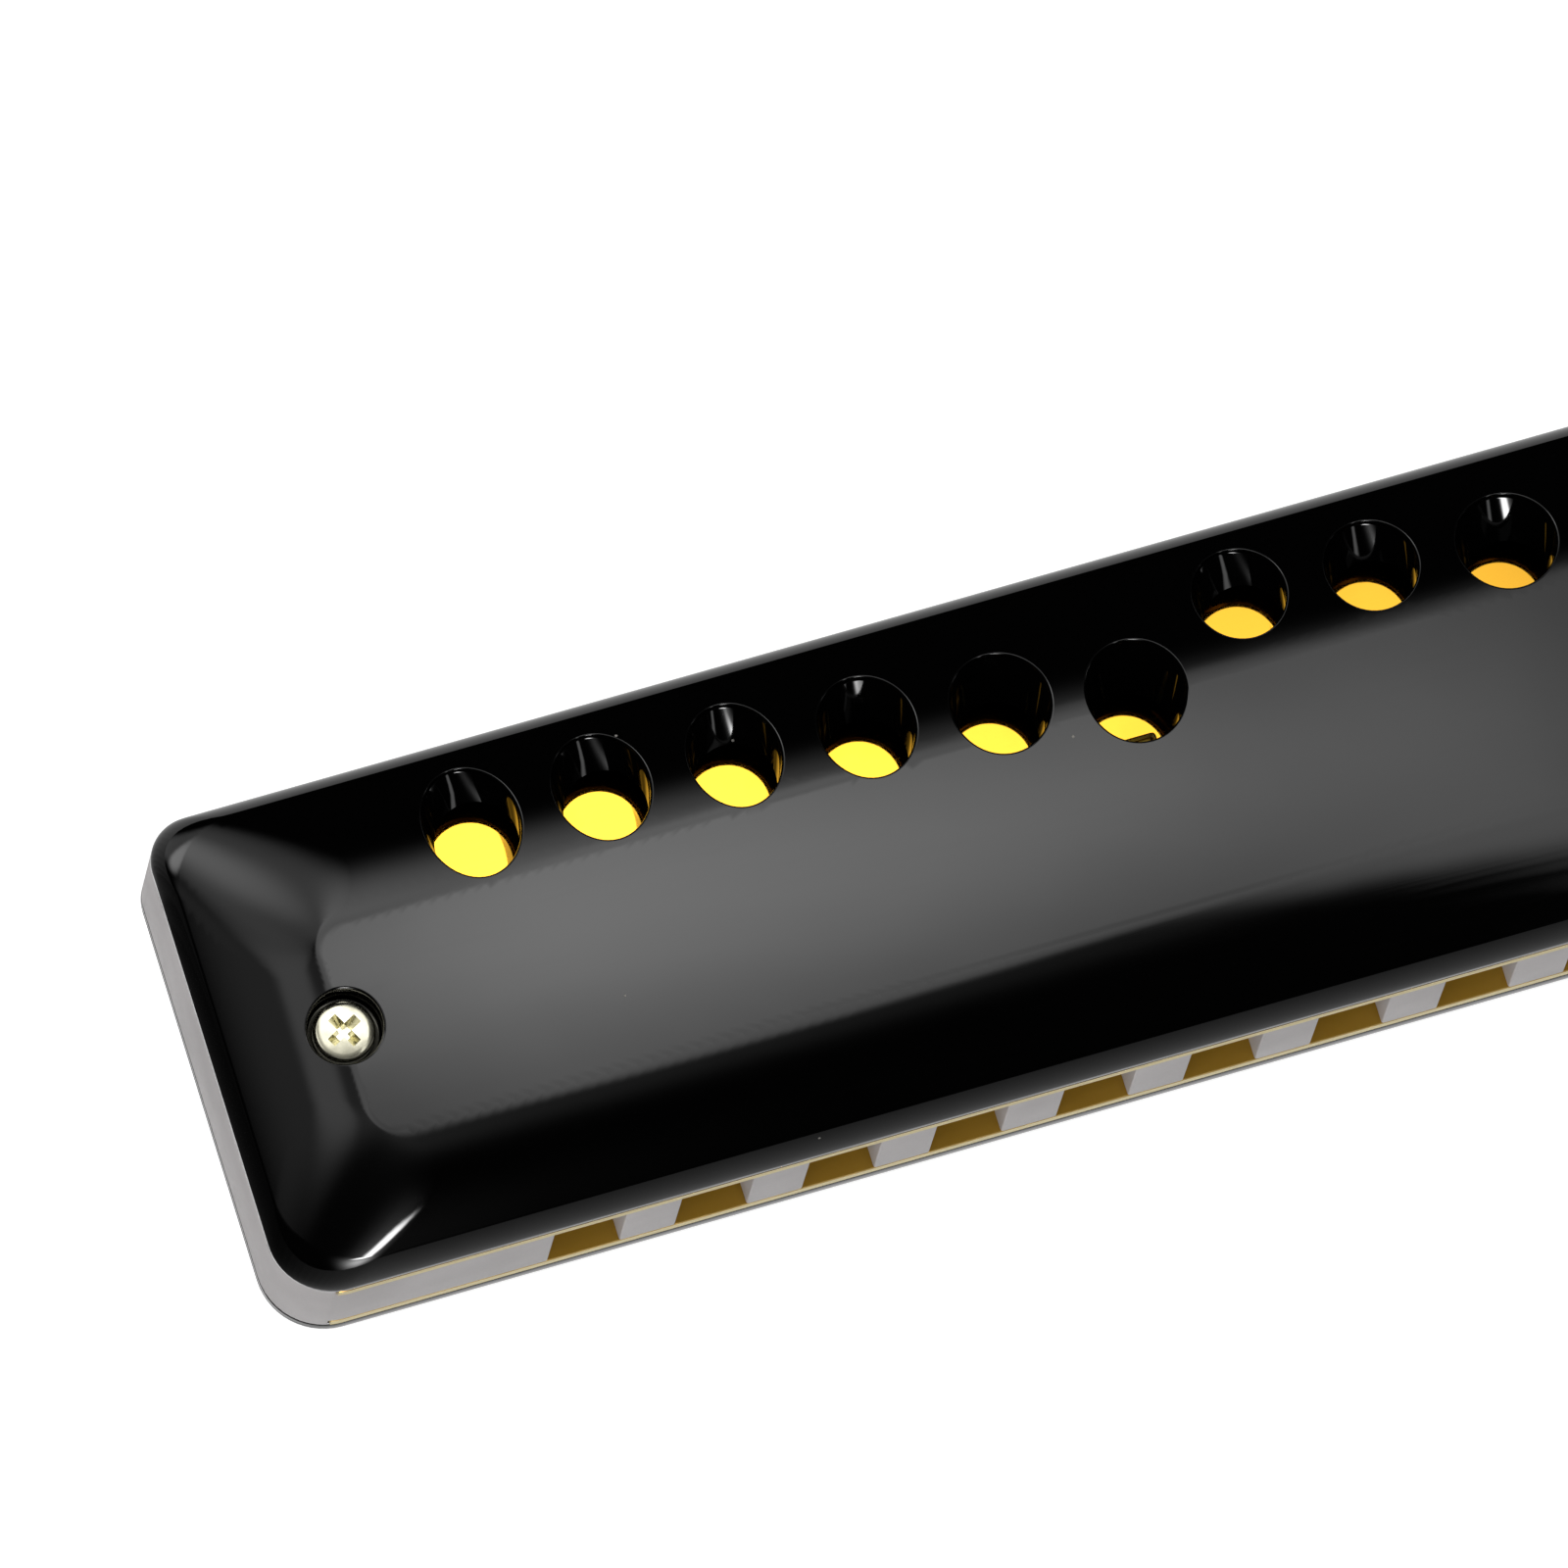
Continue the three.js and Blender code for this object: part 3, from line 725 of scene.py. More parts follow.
    def height(self, points, share=None, outward=None):
        """Heights over the seat at points of the plan."""
        if share is None:
            share, outward = self.share_at(points)
        lift = self.lift(share, outward)
        fall = self.sizes.crown_sag * (points[:, 0] / HALF_LENGTH) ** 2
        fall += self.sizes.crown_drop * (points[:, 1] / HALF_DEPTH) ** 2
        return self.sizes.rim + lift * (self.rise - fall)

    def on(self, plan, drop=0.0):
        """Points of the plan on the surface, or a drop below it."""
        return np.column_stack([plan, self.height(plan) - drop])

    def normals(self, points):
        """Upward normals at points of the plan."""
        step = 0.02 * MM
        slopes = []
        for way in (np.array([step, 0]), np.array([0, step])):
            slopes.append((self.height(points + way) - self.height(points - way)) / (2 * step))
        normals = np.stack([-slopes[0], -slopes[1], np.ones(len(points))], axis=1)
        return normals / np.linalg.norm(normals, axis=1, keepdims=True)


def grid_normals(rows):
    """Normals of a grid of points whose rows are closed rings, from the outermost inwards."""
    rows = np.array(rows)
    along = np.roll(rows, -1, axis=1) - np.roll(rows, 1, axis=1)
    across = np.gradient(rows, axis=0)
    normals = np.cross(along, across)
    return normals / np.linalg.norm(normals, axis=2, keepdims=True)


def slope_shares(count):
    """Shares of the slope: close together in the quick turn at the rim, and then in equal steps."""
    turning = Pillow.shoulder * (1 - np.cos(np.linspace(0, math.pi / 2, 9)))
    return np.concatenate([turning, np.linspace(Pillow.shoulder, 1, count + 1)[1:]])


class VentForm:
    """The form of one vent: its mouth in the crown, its rounded lip, and its tube down to the foot."""

    steps = 56

    def __init__(self, x, y, shape, sizes):
        off_x, off_y, self.half_x, self.half_y, foot_x, foot_y = (v * MM for v in shape)
        self.x, self.y = x + off_x, y + off_y
        self.foot_x, self.foot_y = x + foot_x, y + foot_y
        self.sizes = sizes
        self.turns = np.arange(self.steps) * 2 * math.pi / self.steps

    def mouth(self, spread, turns):
        """The outline of the mouth, widened by a spread."""
        return ellipse(self.x, self.y, self.half_x + spread, self.half_y + spread, turns)

    def surface(self, pillow, turns, depth):
        """Depth runs from 0 at the lip's start over 1 at its end to 2 at the foot."""
        sizes = self.sizes
        if depth <= 1:
            turn = depth * math.pi / 2
            plan = self.mouth(sizes.lip * (1 - math.sin(turn)), turns)
            return pillow.on(plan, sizes.lip_depth * (1 - math.cos(turn)))
        top = pillow.on(self.mouth(0.0, turns), sizes.lip_depth)
        foot = ellipse(self.foot_x, self.foot_y, sizes.throat, sizes.throat, turns)
        return top + (at_height(foot, sizes.foot) - top) * (depth - 1)


def vent_forms(sizes):
    """The forms of the ten vents in a cover."""
    return [
        VentForm(x, HALF_DEPTH - share * 2 * HALF_DEPTH, shape, sizes)
        for x, share, shape in zip(HOLE_X, VENT_BACK_SHARES, VENT_SHAPES)
    ]


def clear_of(points, holes, gap):
    """Which points of the plan lie outside all the holes by a gap."""
    keep = np.ones(len(points), bool)
    for x, y, half_x, half_y in holes:
        away = np.hypot((points[:, 0] - x) / (half_x + gap), (points[:, 1] - y) / (half_y + gap))
        keep &= away > 1
    return keep


def crown_face(skin, pillow, shares, loops, holes, upward):
    """Closes a pillow from its last full ring over the crown, around loops of points."""
    ring_gap, grid_gap = 0.22 * MM, 0.6 * MM
    inset_x, inset_y, slack = 1.3 * MM, 1.2 * MM, 0.1 * MM
    step_x, step_y = 2.3 * MM, 1.9 * MM
    rings = [pillow.ring(share)[0] for share in shares]
    half_x, front, back = pillow.outline(shares[-1])[:3]
    columns = np.arange(inset_x - half_x, half_x - inset_x + slack, step_x)
    rows = np.arange(front + inset_y, back - inset_y + slack, step_y)
    grid = np.stack(np.meshgrid(columns, rows), axis=-1).reshape(-1, 2)
    flat = [points[clear_of(points, holes, ring_gap)] for points in rings]
    flat = np.concatenate([*flat, grid[clear_of(grid, holes, grid_gap)]])
    skin.sheet(loops, upward, skin.add(pillow.on(flat), pillow.normals(flat) if upward else None))


def add_vent(skin, pillow, form):
    """The rounded lip and the tube of a vent, down to its foot. Gives the loops at both ends."""
    rings = []
    for depth in [*np.linspace(0, 1, 11), 1.04, 1.1, 1.3, 1.6, 2.0]:
        points = form.surface(pillow, form.turns, depth)
        ahead, behind = min(depth + 0.01, 2.0), max(depth - 0.01, 0.0)
        along, back = (form.surface(pillow, form.turns + turn, depth) for turn in (0.01, -0.01))
        below, above = (form.surface(pillow, form.turns, level) for level in (ahead, behind))
        normals = np.cross(along - back, below - above)
        normals /= np.linalg.norm(normals, axis=1, keepdims=True)
        if depth == 0:
            normals = pillow.normals(points[:, :2])
        rings.append(skin.add(points, normals, math.sin(min(depth, 1) * math.pi)))
    skin.bridge(*rings)
    return rings[0], rings[-1]


def pocket_rings(skin, pillow, loop, floor, bore, edge):
    """A pocket from the crown down to its floor, and the bore below it down to the seat."""
    wide = offset(loop, edge)
    rings = [skin.add(pillow.on(wide), pillow.normals(wide), 1.0)]
    for turn in np.array([0.3, 0.65, 1.0]) * math.pi / 2:
        ring = offset(loop, edge * (1 - math.sin(turn)))
        rings.append(skin.add(pillow.on(ring, edge * (1 - math.cos(turn))), wear=0.7))
    for inset, height in ((0, edge), (edge * 0.3, edge * 0.3), (edge, 0)):
        rings.append(skin.add(at_height(offset(loop, -inset), floor + height)))
    middle = loop.mean(axis=0)
    aim = np.arctan2(loop[:, 1] - middle[1], loop[:, 0] - middle[0])
    for radius, z in ((bore + edge * 0.5, floor), (bore, floor - edge * 0.5), (bore, 0.0)):
        rings.append(skin.add(at_height(ellipse(*middle, radius, radius, aim), z)))
    skin.bridge(*rings)
    return rings[0], rings[-1]


def slope_rings(skin, pillow, shares, edge):
    """Full rings from the seat up the slope, with normals and a broken edge if the edge isn't zero."""
    plan, outward = pillow.ring(0.0)
    rows = [at_height(plan, 0.0)]
    if edge:
        insets = ((edge, 0.0), (edge * 0.3, edge * 0.3), (0.0, edge))
        rows = [at_height(plan - outward * inset, z) for inset, z in insets]
    for share in shares:
        plan, outward = pillow.ring(share)
        rows.append(np.column_stack([plan, pillow.height(plan, np.full(len(plan), share), outward)]))
    if not edge:
        return [skin.add(row) for row in rows[:-1]]
    normals = grid_normals(rows)
    normals[-2] = pillow.normals(rows[-2][:, :2])
    return [skin.add(row, normal) for row, normal in zip(rows[:-1], normals)]


def cover_mesh(sizes, vent, fasteners, pocket, floor):
    """A moulded cover: shell, vents with tubes, and bolt bosses. The pocket is a loop at the origin."""
    skin = Skin()
    outer, inner = Pillow(sizes), Pillow(sizes, sizes.wall)
    edge = sizes.edge
    shares = slope_shares(20)
    steep = int(np.argmax(shares > STEEP_SHARE))
    outside, inside = (
        slope_rings(skin, pillow, shares[: steep + 2], ease) for pillow, ease in ((outer, edge), (inner, 0))
    )
    skin.bridge(*reversed(inside), *outside)

    outer_loops, inner_loops, outer_holes, inner_holes = [outside[-1]], [inside[-1]], [], []
    low, half_wall = vent.foot - edge * 0.4, vent.wall * 0.5
    for form in vent_forms(vent):
        lip, foot = add_vent(skin, outer, form)
        rounded, tube = (
            skin.add(at_height(ellipse(form.foot_x, form.foot_y, radius, radius, form.turns), low))
            for radius in (vent.throat + edge, vent.throat + vent.wall)
        )
        plan = form.mouth(half_wall, form.turns)
        top = skin.add(np.column_stack([plan, np.maximum(inner.height(plan), vent.foot)]))
        skin.bridge(foot, rounded, tube, top)
        outer_loops.append(lip)
        inner_loops.append(top)
        for margin, holes in ((vent.lip, outer_holes), (half_wall, inner_holes)):
            holes.append((form.x, form.y, form.half_x + margin, form.half_y + margin))
    boss = fasteners.pocket + fasteners.boss_wall
    reach = float(np.abs(pocket).max()) + edge
    aim = np.arctan2(pocket[:, 1], pocket[:, 0])
    for side in SIDES.values():
        spot = (side * BOLT_X, BOLT_Y)
        lip, bore = pocket_rings(skin, outer, pocket + np.array(spot), floor, fasteners.bore, edge)
        plan = ellipse(*spot, boss, boss, aim)
        foot, top = skin.add(at_height(plan, 0.0)), skin.add(inner.on(plan))
        skin.bridge(bore, foot, top)
        outer_loops.append(lip)
        inner_loops.append(top)
        outer_holes.append((*spot, reach, reach))
        inner_holes.append((*spot, boss, boss))
    gentle = [*shares[steep + 1 : -3], 0.93, 0.955, 0.975, 0.99, 1.005, 1.02, 1.04, 1.065, 1.1]
    crown_face(skin, outer, gentle, outer_loops, outer_holes, True)
    crown_face(skin, inner, [*shares[steep + 1 :: 3], 1.05], inner_loops, inner_holes, False)
    return skin.mesh()


# Operators


class Builder:
    """What the operators share: each builds its pieces from the scene's settings."""

    def execute(self, context):
        self.build(context.scene)
        return {"FINISHED"}


class HARMONICA_OT_comb(Builder, bpy.types.Operator):
    """Build the moulded comb with its ten chambers and its two plate recesses"""

    bl_idname = "harmonica.comb"
    bl_label = "Comb"

    plate_fit = 0.1 * MM
    chamber_corner = 0.5 * MM
    past = 1 * MM

    def build(self, scene):
        reeds, fasteners = scene.harmonica_reeds, scene.harmonica_fasteners
        sizes = scene.harmonica_covers
        outline = arc_corners(HALF_LENGTH, HALF_DEPTH, sizes.front_corner, sizes.back_corner, 12)
        low, high = PLATES["upper"]
        under, over = COMB_BOTTOM - self.past, COMB_TOP + self.past
        mouth = -HALF_DEPTH - self.past
        recess = rectangle(low.x - self.plate_fit, mouth, high.x + self.plate_fit, high.y + self.plate_fit)
        levels = ((low.z, over), (under, PLATES["lower"][1].z))
        cutters = [loft(recess, recess, floor, roof) for floor, roof in levels]
        back = BLOW_Y + reeds.pad_length / 2 + reeds.chamber_gap
        half = reeds.hole_width / 2
        for x in HOLE_X:
            loop = rounded_polygon(rectangle(x - half, mouth, x + half, back), self.chamber_corner, 4)
            cutters.append(loft(loop, loop, under, over))
        screw = fasteners.screw + self.plate_fit
        for side in SIDES.values():
            for x, y, radius in ((BOLT_X, BOLT_Y, fasteners.bore), (SCREW_X, 0.0, screw)):
                cutters.append(turned([(radius, under), (radius, over)], 32, side * x, y))
        mesh = carved(loft(outline, outline, COMB_BOTTOM, COMB_TOP), cutters, edge=reeds.comb_edge)
        material = made_of(satin_grey_abs, scene.harmonica_finishes)
        place("comb_body", mesh, material, "body", "comb")


def reed_places(part):
    """Each reed or rivet: its kind, hole and CAD node, and where its rivet meets the plate's face."""
    for kind, (y, z) in REED_SEATS.items():
        for hole, x in enumerate(HOLE_X, 1):
            yield kind, hole, f"{kind}_{part}_{hole}", x, y, z


def reed_tip(kind, hole):
    """The way that a reed's tongue points along Y, and the Y of its tip."""
    low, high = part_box(f"{kind}_reed_{hole}")
    return (-1, low.y) if kind == "blow" else (1, high.y)


class HARMONICA_OT_reed_plates(Builder, bpy.types.Operator):
    """Build the two brass reed plates with their slots and holes"""

    bl_idname = "harmonica.reed_plates"
    bl_label = "Reed plates"

    slot_corner = 0.2 * MM
    screw_fit = 0.1 * MM

    def build(self, scene):
        reeds, fasteners = scene.harmonica_reeds, scene.harmonica_fasteners
        material = made_of(rolled_brass, scene.harmonica_finishes)
        for plate, kind in (("upper", "blow"), ("lower", "draw")):
            low, high = PLATES[plate]
            outline = self.outline(low, high, scene.harmonica_covers.front_corner)
            holes = []
            for hole, x in enumerate(HOLE_X, 1):
                rivet_y, (way, tip) = REED_SEATS[kind][0], reed_tip(kind, hole)
                root = rivet_y + way * (reeds.pad_length / 2 + reeds.taper + reeds.side_gap)
                near, far = sorted((root, tip + way * reeds.tip_gap))
                half = reeds.tongue_width / 2 + reeds.side_gap
                holes.append(rounded_polygon(rectangle(x - half, near, x + half, far), self.slot_corner, 3))
                holes.append(circle(x, rivet_y, fasteners.rivet, 28))
            for side in SIDES.values():
                holes.append(circle(side * BOLT_X, BOLT_Y, fasteners.bore, 32))
                holes.append(circle(side * SCREW_X, 0, fasteners.screw + self.screw_fit, 28))
            mesh = sheet_metal(outline, holes, low.z, high.z, reeds.plate_chamfer)
            place(f"{plate}_plate_sheet", mesh, material, "body", f"{plate}_reed_plate")

    def outline(self, low, high, corner):
        """The sheet's outline: square at the back, and following the comb's round corners in front."""
        body = arc_corners(HALF_LENGTH, HALF_DEPTH, corner, corner, 24)
        front = body[(body[:, 1] < 0) & (np.abs(body[:, 0]) < high.x)]
        drop = corner - (HALF_LENGTH - high.x)
        side_y = -HALF_DEPTH + corner - math.sqrt(max(corner**2 - drop**2, 0.0))
        return np.array([(low.x, high.y), (low.x, side_y), *front, (high.x, side_y), (high.x, high.y)])


class HARMONICA_OT_reeds(Builder, bpy.types.Operator):
    """Build the twenty reeds, each ground thinner along its tongue"""

    bl_idname = "harmonica.reeds"
    bl_label = "Reeds"

    rivet_fit = 0.06 * MM
    chamfer = 0.025 * MM
    ground_share = 1.25
    ground_flatness = 0.7

    def build(self, scene):
        reeds, fasteners = scene.harmonica_reeds, scene.harmonica_fasteners
        material = made_of(ground_brass, scene.harmonica_finishes)
        for kind, hole, node, x, y, face in reed_places("reed"):
            mesh = self.reed(reeds, fasteners, abs(reed_tip(kind, hole)[1] - y))
            moved(mesh, x, y, face - reeds.lift, 0.0 if kind == "blow" else HALF_TURN)
            place(f"{node}_blade", mesh, material, f"{node}_body", node)

    def reed(self, reeds, fasteners, reach):
        """A reed with its rivet hole at the origin, its upper face at zero and its tongue along -Y."""
        pad_x, pad_y, tongue_x = reeds.pad_width / 2, reeds.pad_length / 2, reeds.tongue_width / 2
        root = -pad_y - reeds.taper
        along = np.linspace(root, -reach, 16)
        outline = [(-pad_x, pad_y), (-pad_x, -pad_y)]
        outline += [(-tongue_x, y) for y in along] + [(tongue_x, y) for y in along[::-1]]
        outline += [(pad_x, -pad_y), (pad_x, pad_y)]
        hole = circle(0, 0, fasteners.rivet + self.rivet_fit, 28)
        mesh = sheet_metal(np.array(outline), [hole], -reeds.thickness, 0.0, self.chamfer)
        for vertex in mesh.vertices:
            if vertex.co.z < -reeds.thickness / 2 and vertex.co.y < root:
                share = (root - vertex.co.y) / (root + reach)
                ground = math.sin(min(share * self.ground_share, 1.0) * math.pi) ** self.ground_flatness
                vertex.co.z += (reeds.thickness - reeds.thinnest) * max(ground, 0.0)
        mesh.update()
        return mesh


class HARMONICA_OT_rivets(Builder, bpy.types.Operator):
    """Build the rivets that hold the reeds, with domed heads and flush tails"""

    bl_idname = "harmonica.rivets"
    bl_label = "Rivets"

    flat_angle = 0.12

    def build(self, scene):
        reeds, sizes = scene.harmonica_reeds, scene.harmonica_fasteners
        material = made_of(rolled_brass, scene.harmonica_finishes)
        seat = -2 * reeds.lift - reeds.thickness
        profile = [
            (sizes.rivet_head * math.sin(a), seat - sizes.rivet_head_height * math.cos(a))
            for a in np.linspace(self.flat_angle, math.pi / 2, 9)
        ]
        shank, spread = sizes.rivet, reeds.plate_chamfer
        profile += [(sizes.rivet_head, seat), (shank, seat)]
        profile += [(shank, PLATE_THICKNESS - spread), (shank + spread, PLATE_THICKNESS)]
        for _, _, node, x, y, face in reed_places("rivet"):
            mesh = moved(turned(profile, 28), x, y, face)
            place(f"{node}_pin", mesh, material, "body", node)


class HARMONICA_OT_covers(Builder, bpy.types.Operator):
    """Build the two glossy covers with their vents, bosses and pockets"""

    bl_idname = "harmonica.covers"
    bl_label = "Covers"

    nut_fit = 0.12 * MM
    nut_pocket_corner = 0.25 * MM

    def build(self, scene):
        sizes, vent, fasteners = scene.harmonica_covers, scene.harmonica_vents, scene.harmonica_fasteners
        material = made_of(polished_black_abs, scene.harmonica_finishes)
        corner = (fasteners.flats / 2 + self.nut_fit) / math.cos(math.pi / 6)
        hexagon = rounded_polygon(circle(0, 0, corner, 6), self.nut_pocket_corner, 6)
        for name, z, turn, pocket, sink in (
            ("top_cover", COMB_TOP, 0.0, circle(0, 0, fasteners.pocket, 48), fasteners.head_sink),
            ("bottom_cover", COMB_BOTTOM, HALF_TURN, hexagon, fasteners.nut_sink),
        ):
            mesh = cover_mesh(sizes, vent, fasteners, pocket, COVER_HEIGHT - sink)
            moved(mesh, z=z, turn=turn, axis="Y")
            place(f"{name}_shell", mesh, material, "body", name)


class HARMONICA_OT_bolts(Builder, bpy.types.Operator):
    """Build the two cross-head bolts and their nuts"""

    bl_idname = "harmonica.bolts"
    bl_label = "Bolts and nuts"

    tip_share, tip_height = 0.55, 0.12 * MM
    thread_start, thread_end, thread_root = 0.2 * MM, 4 * MM, 0.84
    head_ease, head_dome, head_chamfer = 0.32 * MM, 0.1 * MM, 0.06 * MM
    cross_top, cross_foot = (1.12 * MM, 0.3 * MM), (0.42 * MM, 0.16 * MM)
    cross_depth, cross_past = 0.95 * MM, 0.08 * MM
    nut_ease, nut_drop_share = 0.02 * MM, 0.55
    thread_fit = 0.12 * MM
    bore_low, bore_high = -1 * MM, 4 * MM

    def build(self, scene):
        sizes = scene.harmonica_fasteners
        material = made_of(nickel_plated_steel, scene.harmonica_finishes)
        for name, side in SIDES.items():
            low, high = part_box(f"cover_bolt_{name}")
            seat = high.z - sizes.head_height
            bolt, nut = self.bolt(sizes, seat - low.z), self.nut(sizes)
            for piece, mesh, z in (("bolt", bolt, seat), ("nut", nut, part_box(f"cover_nut_{name}")[0].z)):
                node = f"cover_{piece}_{name}"
                moved(mesh, side * BOLT_X, BOLT_Y, z)
                place(f"{piece}_{name}_metal", mesh, material, "body", node)

    def bolt(self, sizes, shank):
        """A pan-head bolt with a tapered cross recess and a thread; zero is the seat of its head."""
        radius, head, height = sizes.bolt, sizes.head, sizes.head_height
        profile = [(radius * self.tip_share, -shank), (radius * 0.8, -shank + self.tip_height)]
        low, high = -shank + self.thread_start, -shank + self.thread_end
        profile += threaded(radius, self.thread_root, low, high, sizes.thread_pitch)
        ease = self.head_ease
        profile += [(radius, profile[-1][1] + sizes.thread_pitch / 2), (radius, 0.0)]
        profile += [(head - self.head_chamfer, 0.0), (head, self.head_chamfer)]
        for turn in np.linspace(0, 1.25, 6):
            rise = height - self.head_dome - ease + ease * math.sin(turn)
            profile.append((head - ease * (1 - math.cos(turn)), rise))
        edge_x, edge_z = profile[-1]
        for share in np.linspace(0.15, 0.95, 7):
            profile.append((edge_x * (1 - share), edge_z + (height - edge_z) * share * (2 - share)))
        foot, top = cross_loop(*self.cross_foot), cross_loop(*self.cross_top)
        recess = loft(foot, top, height - self.cross_depth, height + self.cross_past)
        return moved(carved(turned(profile, 48), [recess]), turn=sizes.cross_turn)

    def nut(self, sizes):
        """A hexagonal nut with turned chamfers and a bore; zero is its lower face."""
        half, height = sizes.flats / 2, sizes.nut_height
        corner = sizes.flats / math.sqrt(3)
        prism = circle(0, 0, corner, 6)
        drop = (corner - half) * self.nut_drop_share
        face = half - self.nut_ease
        barrel = turned([(face, 0.0), (corner, drop), (corner, height - drop), (face, height)], 48)
        chamfered = carved(loft(prism, prism, 0.0, height), [barrel], "INTERSECT")
        radius = sizes.bolt + self.thread_fit
        return carved(chamfered, [turned([(radius, self.bore_low), (radius, self.bore_high)], 40)])


def threaded(radius, root_share, low, high, pitch):
    """The profile of a thread, crest and root by turns, from one height to another."""
    points = []
    while low < high:
        points += [(radius, low), (radius * root_share, low + pitch / 2)]
        low += pitch
    return points


def cross_loop(reach, half):
    """A plus sign as a loop, anticlockwise."""
    points = [(reach, -half), (reach, half), (half, half)]
    for _ in range(3):
        points += [(-y, x) for x, y in points[-3:]]
    return np.array(points)


class HARMONICA_OT_plate_screws(Builder, bpy.types.Operator):
    """Build the slotted screws that hold the reed plates to the comb"""

    bl_idname = "harmonica.plate_screws"
    bl_label = "Plate screws"

    tip_radius, tip_length = 0.06 * MM, 0.6 * MM
    thread_start, thread_end, thread_root = 0.7 * MM, -0.5 * MM, 0.78
    neck = 0.1 * MM
    band_share, flat_share = 0.4, 0.12
    slot_half, slot_depth = 0.2 * MM, 0.35 * MM

    def build(self, scene):
        sizes = scene.harmonica_fasteners
        material = made_of(nickel_plated_steel, scene.harmonica_finishes)
        for plate, z, turn in (("upper", COMB_TOP, 0.0), ("lower", COMB_BOTTOM, HALF_TURN)):
            for name, side in SIDES.items():
                node = f"{plate}_plate_screw_{name}"
                low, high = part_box(node)
                mesh = self.screw(sizes, high.z - low.z - sizes.screw_head_height)
                moved(mesh, side * SCREW_X, 0, z, turn, "X")
                place(f"{node}_metal", mesh, material, "body", node)

    def screw(self, sizes, shank):
        """A slotted screw with a domed head and a pointed, threaded shank; zero is its seat."""
        radius, head, height = sizes.screw, sizes.screw_head, sizes.screw_head_height
        profile = [(self.tip_radius, -shank), (radius * 0.8, -shank + self.tip_length)]
        low = -shank + self.thread_start
        profile += threaded(radius, self.thread_root, low, self.thread_end, sizes.thread_pitch)
        flat, band = self.flat_share, self.band_share
        profile += [(radius, -self.neck), (radius, 0.0), (head, 0.0), (head, height * band)]
        for turn in np.linspace(0.15, 1.0, 7) * math.pi / 2:
            wide, high = flat + (1 - flat) * math.cos(turn), band + (1 - band) * math.sin(turn)
            profile.append((head * wide, height * high))
        plan = rectangle(-2 * head, -self.slot_half, 2 * head, self.slot_half)
        slot = loft(plan, plan, height - self.slot_depth, 2 * height)
        return carved(turned(profile, 40), [slot])


